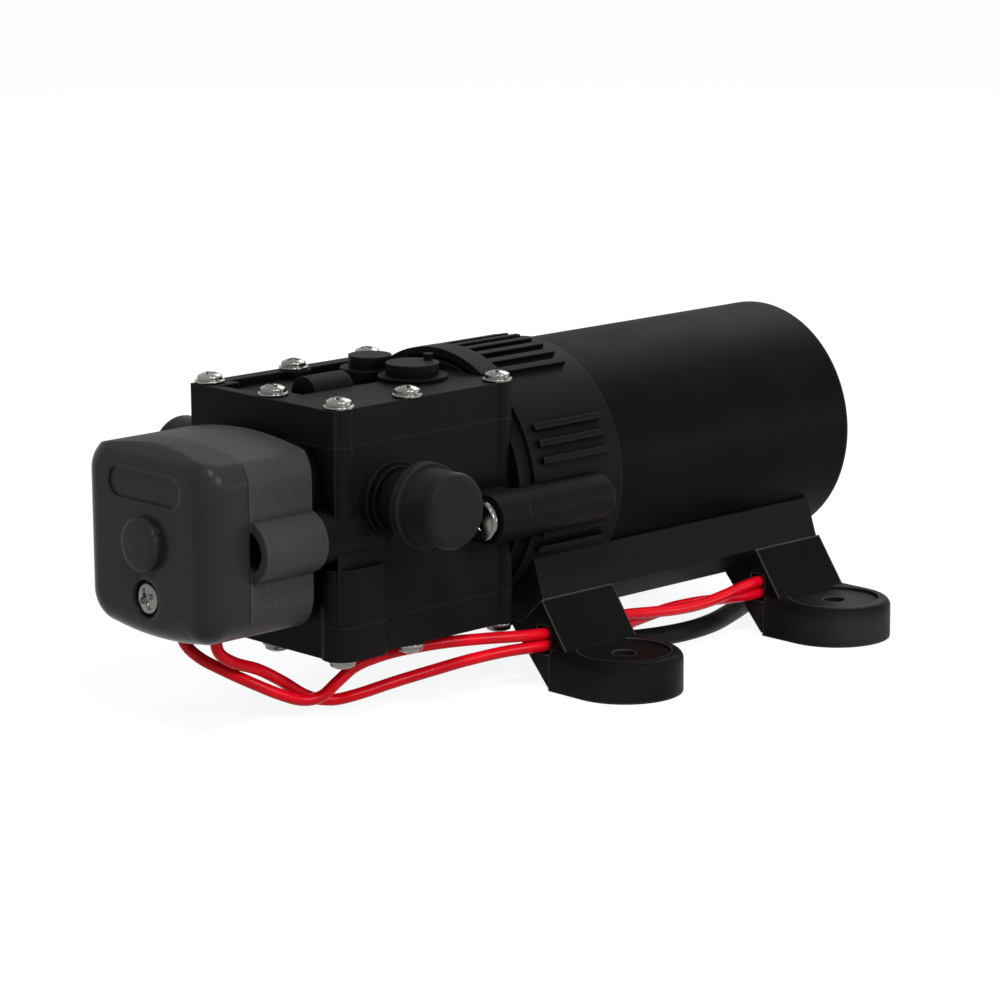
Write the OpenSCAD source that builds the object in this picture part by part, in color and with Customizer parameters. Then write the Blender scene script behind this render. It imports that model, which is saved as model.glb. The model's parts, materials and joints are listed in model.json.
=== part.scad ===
// Caravan water pump: a twin-diaphragm head driven by a brushed motor, with a pressure switch
// in front and four rubber feet. Millimetres. +X runs along the motor away from the switch,
// +Z is up, and the origin lies on the floor at the centre of the four foot holes.

/* [Motor] */
// Height of the shaft above the floor
axis_z = 37.8; // [37:0.1:39]
// Outer radius of the motor can
can_r = 24.7; // [24.2:0.1:25]
// Length of the motor can
can_len = 90.2; // [88:0.2:100]
// Wall of the motor can
can_wall = 1.5; // [1:0.1:2]
// Rounding of the can's rear edge
can_round = 2; // [1:0.1:3]
// Distance from the centre of the feet forward to the can's front end
motor_front = 40.4; // [38:0.1:42]
// Radius of the motor shaft
shaft_r = 2.5; // [2:0.1:2.6]
// Radius of the armature's laminated core
core_r = 18.4; // [16:0.1:19]
// Length of the armature's laminated core
core_len = 44; // [36:1:48]
// Winding slots round the core
core_slots = 10; // [8:1:12]
// Width of a winding slot
slot_w = 4; // [3:0.1:4.5]
// Air gap between core and magnets
air_gap = 0.8; // [0.5:0.1:1.2]
// Length of a magnet
magnet_len = 48; // [40:1:52]
// Angle that a magnet covers
magnet_arc = 120; // [90:5:150]
// Radius of the commutator
commutator_r = 7; // [6:0.1:8]
// Length of the commutator
commutator_len = 10; // [8:0.5:12]
// Length of the windings past each end of the core
end_turn = 5; // [3:0.5:7]
// Radius of the rear bush
bush_r = 6; // [5:0.1:7]
// Length of the rear bush
bush_len = 5; // [4:0.5:6]

/* [Bracket] */
// Thickness of the bracket's flange
flange_t = 2.2; // [1.6:0.1:3]
// Wall of the bracket's sleeve round the can
sleeve_wall = 0.6; // [0.5:0.05:1]
// Length of the bracket's sleeve
sleeve_len = 21.4; // [16:0.2:26]
// Height of a rib on the sleeve
rib_h = 1; // [0.5:0.1:1.2]
// Width of a rib on the sleeve
rib_w = 1.3; // [1:0.1:2.2]
// Angle between ribs
rib_pitch = 7.4; // [6.5:0.1:8]
// Length of a rib
rib_len = 17.5; // [12:0.5:19]
// Radius of the arched lip over the top cover
lip_r = 26.4; // [26.2:0.1:27]
// Angle that the arched lip covers
lip_arc = 60; // [40:2:64]
// Thickness of the arched lip
lip_t = 1.5; // [1.3:0.1:1.8]
// Distance of each motor screw from the shaft
motor_screw_y = 26.5; // [26:0.1:28]
// Radius of the motor-screw bosses
motor_boss_r = 4.8; // [4:0.1:5.4]
// Length of the bracket's screw bosses
motor_boss_len = 24.1; // [22:0.1:26]
// Reach of the bracket's screw bosses in front of its flange
motor_boss_fore = 6.9; // [5:0.1:8]
// Length of the body's lugs in front of those bosses
motor_lug_len = 7.2; // [5:0.1:9]
// Depth of the motor screws below the shaft
motor_screw_drop = 1.9; // [1:0.1:3]
// Radius of the front ball bearing
bearing_r = 8; // [7:0.1:8.4]
// Width of the front ball bearing
bearing_w = 5; // [4:0.2:6]

/* [Pump body] */
// Length of the pump body
body_len = 44; // [43:0.2:46]
// Half width of the pump body's flat sides
body_half = 20.6; // [20:0.1:21]
// Height of the body above the shaft
body_up = 15.4; // [15:0.1:17]
// Depth of the body below the shaft
body_down = 18.3; // [17:0.1:20]
// Thickness of the top cover
top_cover_h = 7; // [6.6:0.1:9]
// Thickness of the bottom cover
bottom_cover_h = 6.5; // [5.6:0.1:8]
// Depth of the recess in the top cover
recess_h = 1.6; // [0.8:0.1:2]
// Reach of the top cover's recess towards the inlet's side
recess_half = 17.6; // [16:0.1:18]
// Reach of the top cover's recess towards the outlet's side
recess_near = 3.7; // [3:0.1:8]
// Distance of the cover screws inside the body's sides
side_inset = 2; // [1.7:0.1:2.2]
// Distance of the front screws behind the body's front face
front_inset = 3.1; // [2.8:0.1:3.6]
// Distance of the rear screws before the body's rear face
rear_inset = 0.9; // [0.6:0.1:1.6]
// Shift of the side screws from the pump's centre
mid_shift = 2; // [0:0.2:3]
// Radius of the corner columns
column_r = 2.7; // [2.5:0.05:3]
// Radius of the wider front columns below the ears
low_column_r = 3.9; // [3.4:0.1:4.2]
// Length of the wider front columns along the pump
low_column_len = 6; // [4:0.5:7]
// Thickness of the round spigot behind the body
spigot_t = 2.8; // [2:0.1:3.4]
// Radius of the round spigot behind the body
spigot_r = 24; // [23:0.1:24.6]
// Radius of the crank chamber
crank_r = 12; // [11.9:0.1:12.6]
// Thickness of the boss that carries the switch
front_boss_t = 3.5; // [2.5:0.1:5]
// Radius of the near valve boss on the top cover
near_boss_r = 5.1; // [4:0.1:5.4]
// Radius of the far valve boss on the top cover
far_boss_r = 4.2; // [3:0.1:4.6]
// Distance of the valve bosses behind the pump's centre
valve_boss_x = 10.7; // [9:0.1:12]
// Distance of the valve bosses from the middle plane
valve_boss_y = 6.1; // [5.8:0.1:8]
// Height of the valve bosses above the cover's rim
valve_boss_up = 3.3; // [2:0.1:4]
// Radius of the channel rib on the top cover
channel_r = 3.6; // [3:0.1:4]
// Height of the channel rib above the cover's rim
channel_up = 2.5; // [1.6:0.1:3]
// Length of the channel rib on the top cover
channel_len = 9.5; // [8:0.5:14]

/* [Pump drive] */
// Throw of the eccentric
throw = 1; // [0.6:0.1:1.1]
// Stroke of the pistons each way
stroke = 1; // [0.6:0.1:1.1]
// Radius of the eccentric
eccentric_r = 4; // [3.8:0.05:4.4]
// Outer radius of the cam bearing
cam_r = 7; // [6.4:0.1:7.2]
// Width of the cam bearing
cam_w = 4; // [3:0.2:4.6]
// Thickness of the yoke along the shaft
yoke_t = 5; // [4:0.2:6]
// Half width of the yoke
yoke_half = 11; // [10.8:0.1:11.4]
// Radius of a diaphragm
dia_r = 14; // [13.4:0.1:14.6]
// Thickness of a diaphragm
dia_t = 1.5; // [1:0.1:1.8]
// Radius of a piston plate
piston_r = 6; // [5:0.1:6.2]
// Thickness of a piston plate
piston_t = 1.4; // [1.2:0.1:1.6]
// Wall between a valve plate and the cover screws
plate_side = 0.5; // [0.4:0.05:0.6]
// Thickness of a valve plate
plate_t = 4; // [3.8:0.1:4.2]
// Depth of the chamber in a valve plate
chamber_h = 3; // [2.8:0.1:3.2]
// Distance of each valve from the pump's centre
valve_reach = 8.7; // [8.6:0.05:8.9]
// Radius of a valve's flap
flap_r = 2.4; // [2:0.1:2.5]

/* [Ports] */
// Distance of the ports before the pump's centre
port_fore = 9; // [8.6:0.1:10]
// Height of the ports above the shaft
port_up = 4.6; // [3:0.1:6]
// Radius of the fitting's shank in the body
shank_r = 5; // [4.6:0.1:5.2]
// Radius of the fitting's collar
collar_r = 7.2; // [7:0.1:7.8]
// Thickness of the fitting's collar
collar_t = 2.2; // [1.6:0.1:3]
// Thickness of the round bead on the fitting's collar
bead_t = 1.2; // [0.8:0.1:1.6]
// Radius of the fitting's neck
neck_r = 5.6; // [5.2:0.1:6]
// Length of the fitting's neck past its collar
neck_len = 15.2; // [13:0.2:18]
// Radius of the water bore
bore_r = 3.2; // [2.6:0.1:3.6]
// Radius of a port cap
cap_r = 7.2; // [6.8:0.1:7.6]
// Wall of a port cap at its end
cap_end = 1.6; // [1:0.1:2.4]
// Radius of a port cap's lip
lip_ring_r = 8.1; // [7.8:0.1:8.6]
// Length of a port cap over the neck
cap_grip = 8; // [6:0.5:9]
// Gap left inside the inlet's cap, which isn't pushed right home
inlet_cap_out = 1.4; // [0:0.1:2]
// Radius of the water ducts in the body
duct_r = 1.8; // [1.5:0.1:1.9]
// Distance of the water ducts inside the valve plates' edges
duct_in = 2; // [1.9:0.05:2.1]

/* [Pressure switch] */
// Half width of the switch
switch_half = 18.4; // [18:0.1:19]
// Height of the switch
switch_h = 35.6; // [34:0.1:37]
// Depth of the switch's middle below the shaft
switch_drop = 0.8; // [0.5:0.1:1.2]
// Corner radius of the switch
switch_corner = 6.6; // [5.6:0.1:7.4]
// Length of the switch base
switch_base_len = 14.9; // [14.5:0.1:17]
// Depth of the switch cover
switch_cover_len = 9.6; // [9.2:0.1:12]
// Rounding of the switch cover's front edge
switch_edge = 4.6; // [3:0.1:5.4]
// Depth of the curved chin below the switch cover
chin = 0.9; // [0.6:0.1:2.6]
// Radius of the switch's crowned top
crown_r = 75; // [60:1:100]
// Wall of the switch cover and base
switch_wall = 2; // [1.6:0.1:2.4]
// Distance of each ear from the middle plane
ear_y = 17; // [16.6:0.1:17.4]
// Depth of the ears below the shaft
ear_drop = 1.5; // [1:0.1:2]
// Radius of the ears
ear_r = 5.9; // [5:0.1:6.4]
// Distance of the ears' front face behind the cover
ear_back = 0.4; // [0.2:0.1:2]
// Length of the head's bosses that take the ear screws
ear_boss_len = 11; // [8:0.5:12]
// Radius of the round dome on the cover
dome_r = 5.2; // [4.4:0.1:5.8]
// Depth of the dome's centre below the shaft
dome_drop = 1.1; // [0:0.1:1.6]
// Height of the round dome on the cover
dome_h = 2; // [1:0.1:2.4]
// Height of the cover's screw above the switch's lower edge
cover_screw_up = 7.2; // [6.8:0.1:7.6]
// Radius of the hole round the cover's screw
cover_hole_r = 3.6; // [3:0.1:3.8]
// Height of the bare oval above the dome
oval_up = 10.6; // [9.8:0.1:11]
// Length of the bare oval
oval_len = 20.6; // [18:0.2:23]
// Width of the bare oval
oval_w = 5.6; // [5:0.1:6.2]
// Travel of the switch plunger
plunger_travel = 1.2; // [0.8:0.1:1.4]
// Radius of the switch diaphragm
switch_dia_r = 9; // [8:0.1:9.4]

/* [Base and feet] */
// Distance between foot holes along the motor
foot_dx = 61.2; // [58:0.2:62]
// Distance between foot holes across the motor
foot_dy = 74.4; // [72:0.2:78]
// Radius of a foot hole
foot_hole_r = 2.25; // [1.8:0.05:2.6]
// Radius of a foot's pad
pad_r = 11.5; // [11:0.1:12.5]
// Height of a foot's pad
pad_h = 7.9; // [7:0.1:8.4]
// Rounding of a pad's top edge
pad_round = 1.6; // [0.8:0.1:2.2]
// Width of a foot's leg
leg_w = 19.4; // [18:0.2:21]
// Length of the base saddle
saddle_len = 79.3; // [78:0.1:84]
// Floor of the saddle below the can
saddle_floor = 1; // [0.8:0.1:1.6]
// Half width of the saddle
saddle_half = 24.4; // [24:0.1:25]
// Half width of the saddle's flat underside
saddle_flat = 19; // [18.4:0.1:19.6]
// Rise of the saddle's underside to its edge
saddle_rise = 5.1; // [4.4:0.1:6]
// Half width of the saddle's top edges
saddle_top_y = 21; // [20:0.1:21.6]
// Width of the wire channel through a foot's leg
channel_w = 3.6; // [3.2:0.1:3.8]
// Height of the wire channel through a foot's leg
channel_h = 5.6; // [5.2:0.1:5.8]

/* [Fasteners] */
// Radius of a cover screw's shank
screw_r = 1.5; // [1.3:0.05:1.55]
// Radius of a cover screw's head
head_r = 2.9; // [2.6:0.05:3.1]
// Height of a cover screw's head
head_h = 2.1; // [1.6:0.1:2.4]
// Depth that a cover screw goes into the body
screw_grip = 10; // [8:0.5:12]
// Radius of a motor screw's shank
motor_screw_r = 1.9; // [1.6:0.05:2]
// Radius of a motor screw's head
motor_head_r = 3.9; // [3.4:0.05:4.2]
// Height of a motor screw's head
motor_head_h = 2.7; // [2:0.1:3]

/* [Fits] */
// Clearance round a piece that turns or slides
run_gap = 0.05; // [0.02:0.01:0.1]
// Clearance between pieces that are put together and stay
fit_gap = 0.05; // [0.02:0.01:0.1]

/* [Leads] */
// Diameter of a red switch lead
lead_d = 2.3; // [2:0.1:2.5]
// Diameter of the black supply cable
cable_d = 4; // [3.6:0.1:4.2]
// Diameter of a core of the supply cable
core_d = 1.6; // [1.2:0.1:1.8]

/* [Hidden] */
$fn = 64;
eps = 0.01;

// Stations along the motor
can_front = -motor_front;
can_rear = can_front + can_len;
bracket_front = can_front - flange_t;
body_rear = bracket_front - spigot_t;
body_front = body_rear - body_len;
pump_x = body_rear - body_len / 2;
front_row = body_front + front_inset;
rear_row = body_rear - rear_inset;
screw_y = body_half - side_inset;
plate_half = screw_y - screw_r - plate_side;
duct_y = plate_half - duct_in;
port_x = pump_x - port_fore;
boss_face = body_front - front_boss_t;
switch_seam = boss_face - switch_base_len;
switch_front = switch_seam - switch_cover_len;
ear_front = switch_seam + ear_back;

// Heights
body_top = axis_z + body_up;
body_bottom = axis_z - body_down;
head_top = body_top + top_cover_h;
head_bottom = body_bottom - bottom_cover_h;
port_z = axis_z + port_up;
recess_floor = head_top - recess_h;

// Motor inside, set out from the rear bush forward
can_bore = can_r - can_wall;
bush_hub_t = 1.8;
bush_front = can_rear - can_wall - bush_hub_t - bush_len;
holder_t = 2;
holder_gap = 2.5;
holder_rear = bush_front - holder_gap;
holder_reach = can_bore - 3;
side_gap = 1;
commutator_rear = holder_rear - holder_t - side_gap;
commutator_front = commutator_rear - commutator_len;
brush_x = (commutator_front + commutator_rear) / 2;
brush_w = 5;
brush_t = 4;
brush_h = 8;
brush_wall = 1.8;
slit_w = 0.5;
slit_h = 1;
core_rear = commutator_front - side_gap - end_turn;
core_front = core_rear - core_len;
magnet_in = core_r + air_gap;
magnet_front = (core_front + core_rear - magnet_len) / 2;
turn_in = 8.5;
turn_out = core_r - 1.9;
turn_gap = 0.3;
shaft_end_gap = 0.2;
hub_wall = 1.5;
hub_r = bearing_r + hub_wall;
motor_boss_front = bracket_front - motor_boss_fore;
motor_lug_front = motor_boss_front - motor_lug_len;
motor_screw_z = axis_z - motor_screw_drop;
motor_hole_len = motor_boss_len - 4;
sleeve_in = can_r + fit_gap;
sleeve_r = sleeve_in + sleeve_wall;

// Pump inside: half of each valve plate lies in the body and half in its cover
plate_in = plate_t / 2;
upper_plate_z = body_top - plate_in;
lower_plate_z = body_bottom + plate_in;
upper_dia_z = upper_plate_z - dia_t;
lower_dia_z = lower_plate_z + dia_t;
chamber_r = 11.4;
window_half = cam_r + throw + 0.8;
window_up = cam_r + throw + stroke + 0.3;
yoke_bar = 1.6;
stem_r = 2;
piston_screw_r = 1;
piston_head_r = 2;
piston_head_h = 1;
piston_slot_len = 2.4;
piston_slot_w = 0.5;
piston_slot_h = 0.6;
gallery_h = 1.6;
gallery_wall = 1.6;
gallery_fore = 14;
gallery_len = 23.4;
gallery_side = 0.2;
port_cut = body_half + neck_len;
shank = body_half - duct_y - 0.4;
cap_edge = 1.4;
panel_len = 16;
panel_t = 0.8;
panel_top = port_z - collar_r - 0.4;
low_column_top = axis_z - ear_drop - ear_r;
valve_angle = 49;
valve_stem_r = 0.8;
valve_hole_in = 0.8;
valve_hole_r = 0.5;
flap_t = 0.5;
shaft_front = pump_x - cam_w;
channel_start = 7.5;
channel_sink = 1;
pocket_wall = 2.2;
pocket_in = 4.5;
pocket_side = 4;
pocket_step = 0.4;
screw_pad = 0.6;
boss_step = 1.6;
boss_step_up = 0.9;
knob_off = 4.1;
knob_r = 0.9;
knob_up = 1.2;

// Switch inside
switch_back_wall = 8.5;
switch_back = boss_face - switch_back_wall;
switch_dia_t = 1.2;
plunger_face = boss_face - switch_dia_t;
plunger_disc_t = 1.5;
plunger_disc_r = 6;
plunger_stem_r = 2.4;
plunger_web = 1.5;
spring_wire = 0.8;
spring_r = 4.4;
button_gap = 0.05;
button_r = 1.2;
button_h = 1.3;
button_in = 0.5;
button_room = 0.3;
plunger_tip = switch_back - 2.6;
micro_back = plunger_tip - button_gap - button_h;
micro_front = switch_front + switch_wall;
micro_w = 19.8;
micro_h = 6.4;
micro_hole_in = 2.5;
micro_hole_y = 4.75;
micro_hole_r = 1.1;
dome_z = axis_z - dome_drop;
switch_mid = axis_z - switch_drop;
switch_bottom = switch_mid - switch_h / 2;
cover_screw_z = switch_bottom + cover_screw_up;
cover_screw_seat = 1.5;
cover_screw_r = 1.25;
cover_head_h = 1.8;
cover_head_r = cover_hole_r - 0.7;
oval_depth = 0.4;
dome_edge = 0.6 * dome_h;
dome_crown_r = 60;
chin_back = 0.15;
chin_half = switch_half - switch_corner;
chin_r = (chin_half * chin_half + chin * chin) / (2 * chin);
seal_r = 0.6;
cover_boss_r = cover_hole_r + 1.4;
counterbore_r = head_r + 1.1;
tap_drop = 5.8;
ear_floor = boss_face - 4;
ear_grip = port_x - collar_r - body_front - 0.6;

// Base and feet
saddle_under = axis_z - can_r - saddle_floor;
saddle_edge_z = saddle_under + saddle_rise;
saddle_top_z = axis_z - sqrt(can_r * can_r - saddle_top_y * saddle_top_y);
saddle_lip = 0.8;
saddle_front = can_front + 0.5;
foot_x = foot_dx / 2;
foot_y = foot_dy / 2;
leg_step = 6.2;
leg_root = 11.2;
leg_under = 4;
leg_out = foot_y - leg_step;
dish_h = 0.6;
dish_rim = 2.4;
leg_in_floor = foot_y - leg_root;
leg_in_top = saddle_flat - leg_under;
channel_y = 25;
channel_z = 9.3;
peg_y = saddle_flat + 2;
peg_t = 2;
peg_w = 12;
peg_h = 4;

// Leads: where they leave the switch and the can, and the points that they follow
lead_exit_x = -105.4;
lead_exit_y = [5.5, -5];
grommet_z = 21.2;
grommet_r = 4.6;
grommet_lip = 1;
lead_hole_y = -2.4;
lead_hole_z = [1.3, -1.3];
cable_hole_y = 2;
upper_lead_route = [
    [-105.4, 5.5, 22.5], [-105.4, 5.5, 18.5], [-105, 4.6, 15], [-103.6, 2, 12.4], [-101, -1.8, 10.2],
    [-97, -5.4, 7.6], [-92.5, -8, 5.1], [-88.5, -9.6, 3.6], [-85, -10.9, 3.9], [-81.8, -11.8, 6.2],
    [-78, -12.5, 8.6], [-73, -13.4, 9.8], [-67, -14.6, 10.4], [-60, -17.4, 10.9], [-53, -20.6, 11],
    [-46, -23.6, 10.8], [-41, -25, 10.6], [-36, -25, 10.6], [-30, -25, 10.6], [-24, -25, 10.6],
    [-18, -25.4, 10.5], [-11, -26, 9.9], [-4, -26.2, 9.3], [3, -26.2, 9.2], [10, -26, 9.8],
    [17, -25.4, 10.5], [23, -25, 10.6], [29, -25, 10.6], [35, -25, 10.6], [40, -24.6, 10.6],
    [44.6, -21.9, 10.4], [49, -17, 10.3], [52.6, -12, 10.6], [55.2, -7.6, 12.6], [56.6, -4.6, 16],
    [56.6, -3, 19.4], [54.9, -2.4, 22], [52.2, -2.4, 22.5], [47.6, -2.4, 22.5]];
lower_lead_route = [
    [-105.4, -5, 22.5], [-105.4, -5, 18], [-104.6, -5, 14.8], [-101.4, -5.4, 12.4], [-96, -5.8, 10.2],
    [-91, -6.4, 7.2], [-86, -8, 3.6], [-81.5, -9.6, 2.3], [-77, -11.6, 2.8], [-69, -14.2, 4.4],
    [-62, -16.7, 5.7], [-55, -19.7, 7.1], [-48, -22.6, 8], [-41, -25, 8.2], [-36, -25, 8.2],
    [-30, -25, 8.2], [-24, -25, 8.2], [-18, -24.6, 8.2], [-11, -23.9, 8.6], [-4, -23.8, 9.1],
    [3, -23.8, 9], [10, -23.9, 8.5], [17, -24.6, 8.1], [23, -25, 8.1], [29, -25, 8.1], [35, -25, 8.1],
    [40, -24.6, 8], [44.2, -21.9, 7.4], [47.6, -17, 7], [50, -12, 7], [51.8, -7.8, 8.4],
    [53.2, -4.8, 11.4], [54.1, -3.2, 14.6], [54.2, -2.7, 16.8], [53.6, -2.45, 18.8], [52, -2.4, 19.9],
    [50.4, -2.4, 19.9], [47.6, -2.4, 19.9]];
cable_route = [
    [47.6, 2, 21.2], [53, 2, 21.2], [57.6, 2, 20], [61.2, 1.8, 17], [62.6, 1.6, 12.6], [61.8, 1.2, 8],
    [58.6, 0.4, 4], [53, -1.6, 2.1], [46, -5, 2], [38, -9, 2], [29.4, -12.9, 2], [22, -16, 2],
    [14, -18.8, 2], [6, -19.9, 2], [-2, -19, 2], [-9, -16.4, 2], [-14.6, -11.8, 2], [-17.6, -5.4, 2],
    [-17.6, 1.6, 2], [-14.4, 7.6, 2], [-8.6, 11.4, 2], [-1.6, 12.8, 2], [5.4, 12.6, 2]];
cable_end = cable_route[len(cable_route) - 1];
core_len_out = 7;
core_bare = 4;

black = [0.06, 0.06, 0.065];
dark_grey = [0.17, 0.18, 0.19];
rubber_black = [0.09, 0.09, 0.09];
steel = [0.75, 0.75, 0.77];
copper = [0.72, 0.42, 0.22];
red = [0.8, 0.05, 0.08];

// Lies a shape drawn along +Z down along +X, from x
module along_x(x) {
    translate([x, 0, axis_z]) rotate([0, 90, 0]) children();
}

// A round bar along X at y, z above the shaft
module bar_x(x0, x1, r, y = 0, z = 0) {
    translate([x0, y, axis_z + z]) rotate([0, 90, 0]) cylinder(r = r, h = x1 - x0);
}

// A round bar along Y
module bar_y(x, z, y0, y1, r) {
    translate([x, y0, z]) rotate([-90, 0, 0]) cylinder(r = r, h = y1 - y0);
}

// A box between two corners
module block(low, high) {
    translate(low) cube(high - low);
}

// A ring of radii a and b
module ring(a, b, h) {
    difference() {
        cylinder(r = b, h = h);
        translate([0, 0, -eps]) cylinder(r = a, h = h + 2 * eps);
    }
}

// A flat outline with round corners
module round_rect(half_w, half_h, r) {
    square([2 * (half_w - r), 2 * half_h], center = true);
    square([2 * half_w, 2 * (half_h - r)], center = true);
    for (y = [-1, 1], z = [-1, 1]) translate([y * (half_w - r), z * (half_h - r)]) circle(r);
}

// Extrudes an outline in the YZ plane along +X from x, centred on the shaft's height
module plate_x(x, t) {
    translate([x, 0, axis_z]) rotate([90, 0, 90]) linear_extrude(t) children();
}

// Half profile with one round outer corner, drawn from the middle out to r
module soft_profile(r, h, edge) {
    square([r, h - edge]);
    square([r - edge, h]);
    translate([r - edge, h - edge]) circle(edge);
}

// A plate with round corners whose upper edge is rounded all round
module soft_plate(half_w, half_h, t, corner, edge) {
    for (y = [-1, 1], z = [-1, 1])
        translate([y * (half_w - corner), z * (half_h - corner), 0])
            rotate_extrude() intersection() {
                soft_profile(corner, t, edge);
                square([corner, t]);
            }
    rotate([90, 0, 90]) translate([0, 0, corner - half_w]) linear_extrude(2 * (half_w - corner))
        for (s = [0, 1]) mirror([s, 0]) soft_profile(half_h, t, edge);
    rotate([90, 0, 0]) translate([0, 0, corner - half_h]) linear_extrude(2 * (half_h - corner))
        for (s = [0, 1]) mirror([s, 0]) soft_profile(half_w, t, edge);
}

// Pan-head screw with its shank along -Z, seated at z = 0
module pan_screw(shank_r, length, r, h) {
    slot = r * 0.3;
    difference() {
        union() {
            translate([0, 0, -length]) cylinder(r = shank_r, h = length + eps);
            intersection() {
                cylinder(r = r, h = h);
                translate([0, 0, h - 1.7 * r]) sphere(1.7 * r);
            }
        }
        for (turn = [0, 90]) rotate(turn)
            translate([-0.62 * r, -slot / 2, h * 0.45]) cube([1.24 * r, slot, h]);
    }
}

// Centres of the seven cover screws
cover_screws = [
    [front_row, -screw_y], [front_row, 0], [front_row, screw_y], [pump_x - mid_shift, -screw_y],
    [pump_x + mid_shift, screw_y], [rear_row, -screw_y], [rear_row, screw_y]];
columns = [[front_row, -screw_y], [front_row, screw_y], [rear_row, -screw_y], [rear_row, screw_y]];

// Centre of a valve in the plane of the plates: side is 1 on the inlet's side
function valve_place(side) =
    [pump_x + valve_reach * cos(valve_angle), side * valve_reach * sin(valve_angle)];

// Points round a ring of a tube, square to the direction at its place
function unit(v) = v / norm(v);
function heading(route, i) =
    unit(route[min(i + 1, len(route) - 1)] - route[max(i - 1, 0)]);
function across(t) = unit(cross(t, abs(t[2]) > 0.9 ? [0, 1, 0] : [0, 0, 1]));
function ring_points(p, t, r, sides) =
    let (u = across(t), v = cross(t, u))
    [for (k = [0:sides - 1]) p + r * (cos(360 * k / sides) * u + sin(360 * k / sides) * v)];

// A closed tube of flat faces swept along a route
module tube(route, d, sides = 8) {
    n = len(route);
    points = [for (i = [0:n - 1]) each ring_points(route[i], heading(route, i), d / 2, sides)];
    walls = [for (i = [0:n - 2], k = [0:sides - 1])
        let (a = i * sides + k, b = i * sides + (k + 1) % sides)
        each [[a, b, b + sides], [a, b + sides, a + sides]]];
    ends = [for (k = [1:sides - 2]) each [
        [0, k + 1, k], [(n - 1) * sides, (n - 1) * sides + k, (n - 1) * sides + k + 1]]];
    polyhedron(points, concat(walls, ends), convexity = 8);
}

// Points of a helix along +Z with flat ends
function helix(r, length, turns, steps) =
    [for (i = [0:turns * steps])
        [r * cos(360 * i / steps), r * sin(360 * i / steps), length * i / (turns * steps)]];

module motor_can() {
    bush_at = bush_front - can_front;
    color(black) along_x(can_front) difference() {
        rotate_extrude() intersection() {
            soft_profile(can_r, can_len, can_round);
            square([can_r, can_len]);
        }
        translate([0, 0, -eps]) difference() {
            cylinder(r = can_bore, h = bush_at + bush_len + eps);
            translate([0, 0, bush_at]) cylinder(r = bush_r + hub_wall, h = bush_len + 2 * eps);
        }
        translate([0, 0, bush_at - eps]) cylinder(r = bush_r + fit_gap, h = bush_len + eps);
        translate([axis_z - grommet_z, 0, can_len - 3 * can_wall - bush_hub_t])
            cylinder(r = grommet_r, h = 6 * can_wall);
    }
}

module rib(angle) {
    rotate(angle) translate([-sleeve_r - rib_h, -rib_w / 2, 0])
        cube([rib_h + sleeve_wall / 2, rib_w, rib_len]);
}

module motor_bracket() {
    side_ribs = [60, 67.4, 74.8, 107, 114.4];
    color(black) difference() {
        union() {
            along_x(bracket_front) {
                ring(shaft_r + 1.5, sleeve_r, flange_t);
                translate([0, 0, -bearing_w - 1]) ring(bearing_r + fit_gap, hub_r, bearing_w + 1 + flange_t);
            }
            along_x(bracket_front + flange_t - eps) difference() {
                union() {
                    ring(sleeve_in, sleeve_r, sleeve_len);
                    for (k = [-4:4]) rib(k * rib_pitch);
                    for (a = side_ribs, s = [-1, 1]) rib(s * a);
                }
                translate([axis_z - saddle_top_z - fit_gap, -2 * can_r, -eps])
                    cube([2 * can_r, 4 * can_r, sleeve_len + 1]);
            }
            along_x(bracket_front - spigot_t + fit_gap) rotate(180 - lip_arc / 2)
                rotate_extrude(angle = lip_arc) translate([lip_r - lip_t, 0])
                    square([lip_t, spigot_t + flange_t]);
            for (s = [-1, 1]) difference() {
                translate([motor_boss_front, s * motor_screw_y, motor_screw_z]) rotate([0, 90, 0])
                    rotate_extrude() intersection() {
                        soft_profile(motor_boss_r, motor_boss_len, motor_boss_r / 2);
                        square([motor_boss_r, motor_boss_len]);
                    }
                bar_x(can_front, can_rear, sleeve_in);
                bar_x(motor_boss_front - 1, bracket_front, spigot_r + 2 * fit_gap);
            }
        }
        for (s = [-1, 1])
            bar_x(motor_boss_front - 1, motor_boss_front + motor_hole_len, motor_screw_r + fit_gap,
                  s * motor_screw_y, -motor_screw_drop);
    }
}

// Ball bearing with shallow grooves where its shields sit
module bearing(inner, outer, w) {
    groove = (outer - inner) * 0.22;
    difference() {
        ring(inner, outer, w);
        for (z = [-eps, w - 0.3]) translate([0, 0, z]) ring(inner + groove, outer - groove, 0.3 + eps);
    }
}

module front_bearing() {
    color(steel) along_x(bracket_front - bearing_w) bearing(shaft_r + run_gap, bearing_r, bearing_w);
}

module rear_bush() {
    color(copper) along_x(bush_front) ring(shaft_r + run_gap, bush_r, bush_len);
}

module magnets() {
    color(dark_grey) for (turn = [0, 180]) along_x(magnet_front) rotate(turn - magnet_arc / 2)
        rotate_extrude(angle = magnet_arc) translate([magnet_in, 0])
            square([can_bore - fit_gap - magnet_in, magnet_len]);
}

module brush_holder() {
    guide_in = commutator_r + 2;
    guide_len = holder_rear - brush_x + brush_w / 2 + brush_wall;
    color(copper * 0.6) difference() {
        union() {
            along_x(holder_rear - holder_t) ring(guide_in, can_bore - fit_gap, holder_t);
            for (turn = [0, 180]) along_x(brush_x) rotate(turn)
                translate([guide_in, -brush_t / 2 - brush_wall, -brush_w / 2 - brush_wall])
                    cube([holder_reach - guide_in, brush_t + 2 * brush_wall, guide_len]);
        }
        for (turn = [0, 180]) along_x(brush_x) rotate(turn)
            translate([commutator_r + 1, -brush_t / 2 - fit_gap, -brush_w / 2 - fit_gap])
                cube([holder_reach - commutator_r - 1 - brush_wall, brush_t + 2 * fit_gap,
                      brush_w + 2 * fit_gap]);
    }
}

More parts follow.
